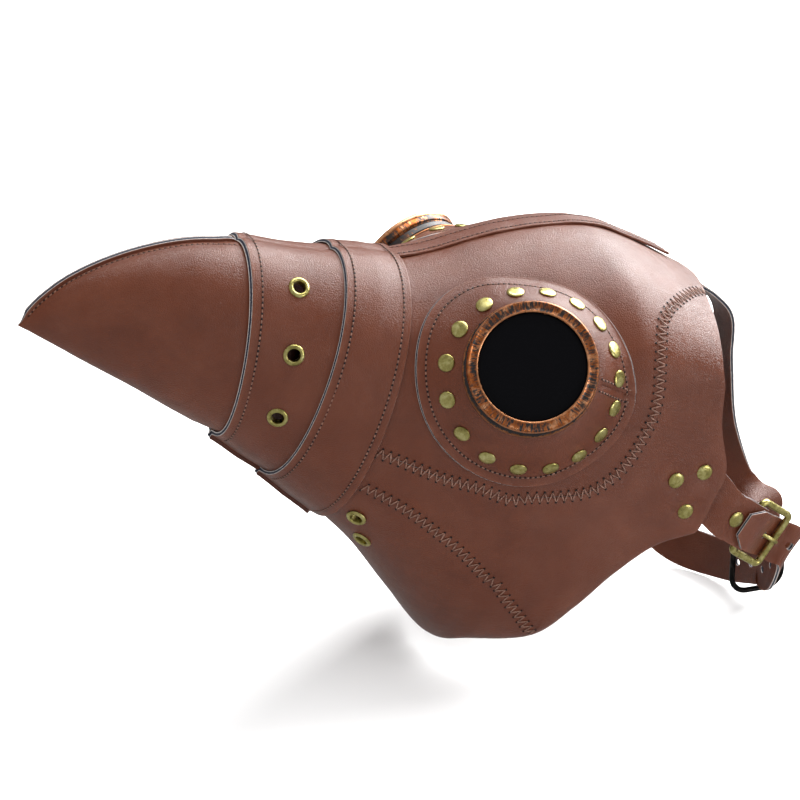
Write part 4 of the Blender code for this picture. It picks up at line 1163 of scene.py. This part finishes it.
# The top strap is sewn inside the forehead and turns as it drops to the wire loop
LOOP_C, LOOP_W, LOOP_H, WIRE = Vector((191.5, -20.0, -110.0)), 32.0, 34.0, 3.0
yy, xx, zz = Vector((0, -1, 0)), Vector((1, 0, 0)), Vector((0, 0, 1))
bar = LOOP_C + zz * (LOOP_H / 2 - WIRE / 2)
rf = 2.9
top_rows = [(Vector((112, 0, 68.2)), yy), (Vector((133, 0, 56.6)), yy), (Vector((150, 0, 46.2)), yy),
            (Vector((164, 0, 37)), yy), (Vector((174, 0, 24)), yy), (Vector((175, 0, 0)), yy),
            (Vector((175, -3, -35)), Vector((.35, -1, 0))), (Vector((181, -10, -66)), Vector((1, -.7, 0))),
            (bar + zz * 20 + yy * 2.2, xx), (bar + zz * 13 + yy * 1.6, xx), (bar + yy * rf * 0.7 + zz * 4, xx),
            (bar + yy * rf, xx), (bar - zz * rf * .72 + yy * rf * .7, xx), (bar - zz * rf, xx),
            (bar - zz * rf * .72 - yy * rf * .7, xx), (bar - yy * rf, xx), (bar + zz * 4 - yy * rf, xx),
            (bar + zz * 13 - yy * 1.9, xx)]
strap_piece("strap_top", top_rows, [(0, 20), (1, 20)], [((bar + zz * 10) * MM, yy, 1.8 * MM, 7 * MM)],
            "top_strap", step=0.8, width_cells=18)
for name, at, n, low in (("fold_rivet_side", fold_c + face_n * 4.0, face_n, 5.6),
                         ("fold_rivet_top", bar + zz * 10 + yy * 4.1, yy, 8.0)):
    bm = bmesh.new()
    rivet_mesh(bm, at * MM, n, low)
    brass_piece("cap_" + name, bm, name)


# ---------------------------------------------------------------- buckle and loop
# A cast brass frame with rounded corners and a bent prong turn on the bar inside the near strap's
# fold. A bent black wire loop hangs in the top strap's fold and holds the far strap.
def frame_points(w, h, r, low=None, steps=8):
    pts = []
    for sx, sy, c, a0 in ((1, 1, r, 0), (-1, 1, r, 90), (-1, -1, low or r, 180), (1, -1, low or r, 270)):
        for k in range(steps + 1):
            a = math.radians(a0 + 90 * k / steps)
            pts.append((sx * (w / 2 - c) + c * math.cos(a), sy * (h / 2 - c) + c * math.sin(a)))
    return pts


def wire(name, points, radius, material, body, node, cyclic):
    """Round bar along points in mm, as a bevelled curve made into a mesh."""
    data = bpy.data.curves.new(name, "CURVE")
    data.dimensions, data.bevel_depth, data.bevel_resolution = "3D", radius * MM, 6
    data.use_fill_caps = not cyclic
    spline = data.splines.new("POLY")
    spline.points.add(len(points) - 1)
    for p, co in zip(spline.points, points):
        p.co = (*(Vector(co) * MM), 1)
    spline.use_cyclic_u = cyclic
    curve = bpy.data.objects.new(name + "_curve", data)
    bpy.context.scene.collection.objects.link(curve)
    mesh = bpy.data.meshes.new_from_object(curve.evaluated_get(bpy.context.evaluated_depsgraph_get()))
    bpy.data.objects.remove(curve)
    bm = bmesh.new()
    bm.from_mesh(mesh)
    bpy.data.meshes.remove(mesh)
    bm.verts.layers.float.new("worn")
    bmesh.ops.remove_doubles(bm, verts=bm.verts, dist=1e-6)
    bmesh.ops.recalc_face_normals(bm, faces=bm.faces)
    piece = finish_piece(name, bm, material, body, smooth_angle=180)
    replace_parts(piece, node)


black_wire = metal_material("black_wire", (0.006, 0.006, 0.006), (0.014, 0.013, 0.012), (0.05, 0.045, 0.04), 0.36)
frame_path = [BUCKLE_C + U * a + up * b for a, b in frame_points(20.4, 29.0, 2.4)]
wire("buckle", frame_path, 1.8, brass, "buckle", "buckle_frame", True)
pin_at = bar_l + U * 3.0 + face_n * 0.4
pin = (BUCKLE_C + U * 10.2 + face_n * 2.9) - pin_at
prong_path = [bar_l + (U * math.cos(math.radians(a)) - face_n * math.sin(math.radians(a))) * 3.0
              for a in range(250, -1, -10)]
prong_path += [pin_at + pin * f + U * 1.2 * (1 - f) for f in (0.15, 0.35, 0.6, 0.8, 1.0)]
wire("pin", prong_path, 0.95, brass, "prong", "buckle_prong", False)
loop_path = [LOOP_C + xx * a + zz * b for a, b in frame_points(LOOP_W - WIRE, LOOP_H - WIRE, 3.2, 9.0)]
wire("wire_loop", loop_path, WIRE / 2, black_wire, "loop", "rear_loop", True)

# ---------------------------------------------------------------- stage
# Pale floor, white surroundings and large soft lights; the camera looks from the beak's left, from above.
floor_mesh = bmesh.new()
bmesh.ops.create_grid(floor_mesh, x_segments=1, y_segments=1, size=6)
bmesh.ops.translate(floor_mesh, vec=(0, 0, cad_low.z - 0.001), verts=floor_mesh.verts)
mesh = bpy.data.meshes.new("floor")
floor_mesh.to_mesh(mesh)
floor_mesh.free()
floor = bpy.data.objects.new("floor", mesh)
bpy.context.scene.collection.objects.link(floor)
mesh.materials.append(plain_material("pale_floor", (0.92, 0.92, 0.92), 0.9))
floor.visible_glossy = False
floor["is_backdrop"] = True

world = bpy.data.worlds.new("studio")
bpy.context.scene.world = world
world.use_nodes = True
world.node_tree.nodes["Background"].inputs["Color"].default_value = (1, 1, 1, 1)
world.node_tree.nodes["Background"].inputs["Strength"].default_value = 0.42


def softbox(name, at, target, size, power):
    light = bpy.data.lights.new(name, "AREA")
    light.shape, light.size, light.size_y, light.energy = "RECTANGLE", size[0], size[1], power
    lamp = bpy.data.objects.new(name, light)
    lamp.location = at
    lamp.rotation_euler = (Vector(target) - Vector(at)).to_track_quat("-Z", "Y").to_euler()
    bpy.context.scene.collection.objects.link(lamp)


softbox("overhead", (0.25, 0.25, 1.10), (0.05, 0, 0), (0.8, 0.7), 11)
softbox("rear_right", (0.92, 0.34, 0.69), (0.05, 0, 0), (1.2, 0.9), 42)
softbox("right_strip", (0.76, -1.05, 0.02), (0.1, 0, 0), (0.32, 0.6), 4)
sky = bpy.data.lights.new("diffuse_sky", "SUN")
sky.energy, sky.angle = 2.25, math.radians(70)
dome = bpy.data.objects.new("diffuse_sky", sky)
dome.rotation_euler = Vector((0.25, 0.55, -1)).to_track_quat("-Z", "Y").to_euler()
dome.visible_glossy = False
bpy.context.scene.collection.objects.link(dome)

CAMERA_AZIMUTH, CAMERA_ELEVATION, CAMERA_DISTANCE, LENS_MM = -20.0, 22.0, 1.10, 102.0
camera_data = bpy.data.cameras.new("camera")
camera_data.lens, camera_data.sensor_width = LENS_MM, 36
camera = bpy.data.objects.new("camera", camera_data)
a, e = math.radians(CAMERA_AZIMUTH), math.radians(CAMERA_ELEVATION)
away = Vector((math.sin(a) * math.cos(e), -math.cos(a) * math.cos(e), math.sin(e)))
camera.location = away * CAMERA_DISTANCE
camera.rotation_euler = (-away).to_track_quat("-Z", "Y").to_euler()
bpy.context.scene.collection.objects.link(camera)
bpy.context.scene.camera = camera
bpy.context.scene.view_settings.view_transform = "Standard"

low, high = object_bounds()
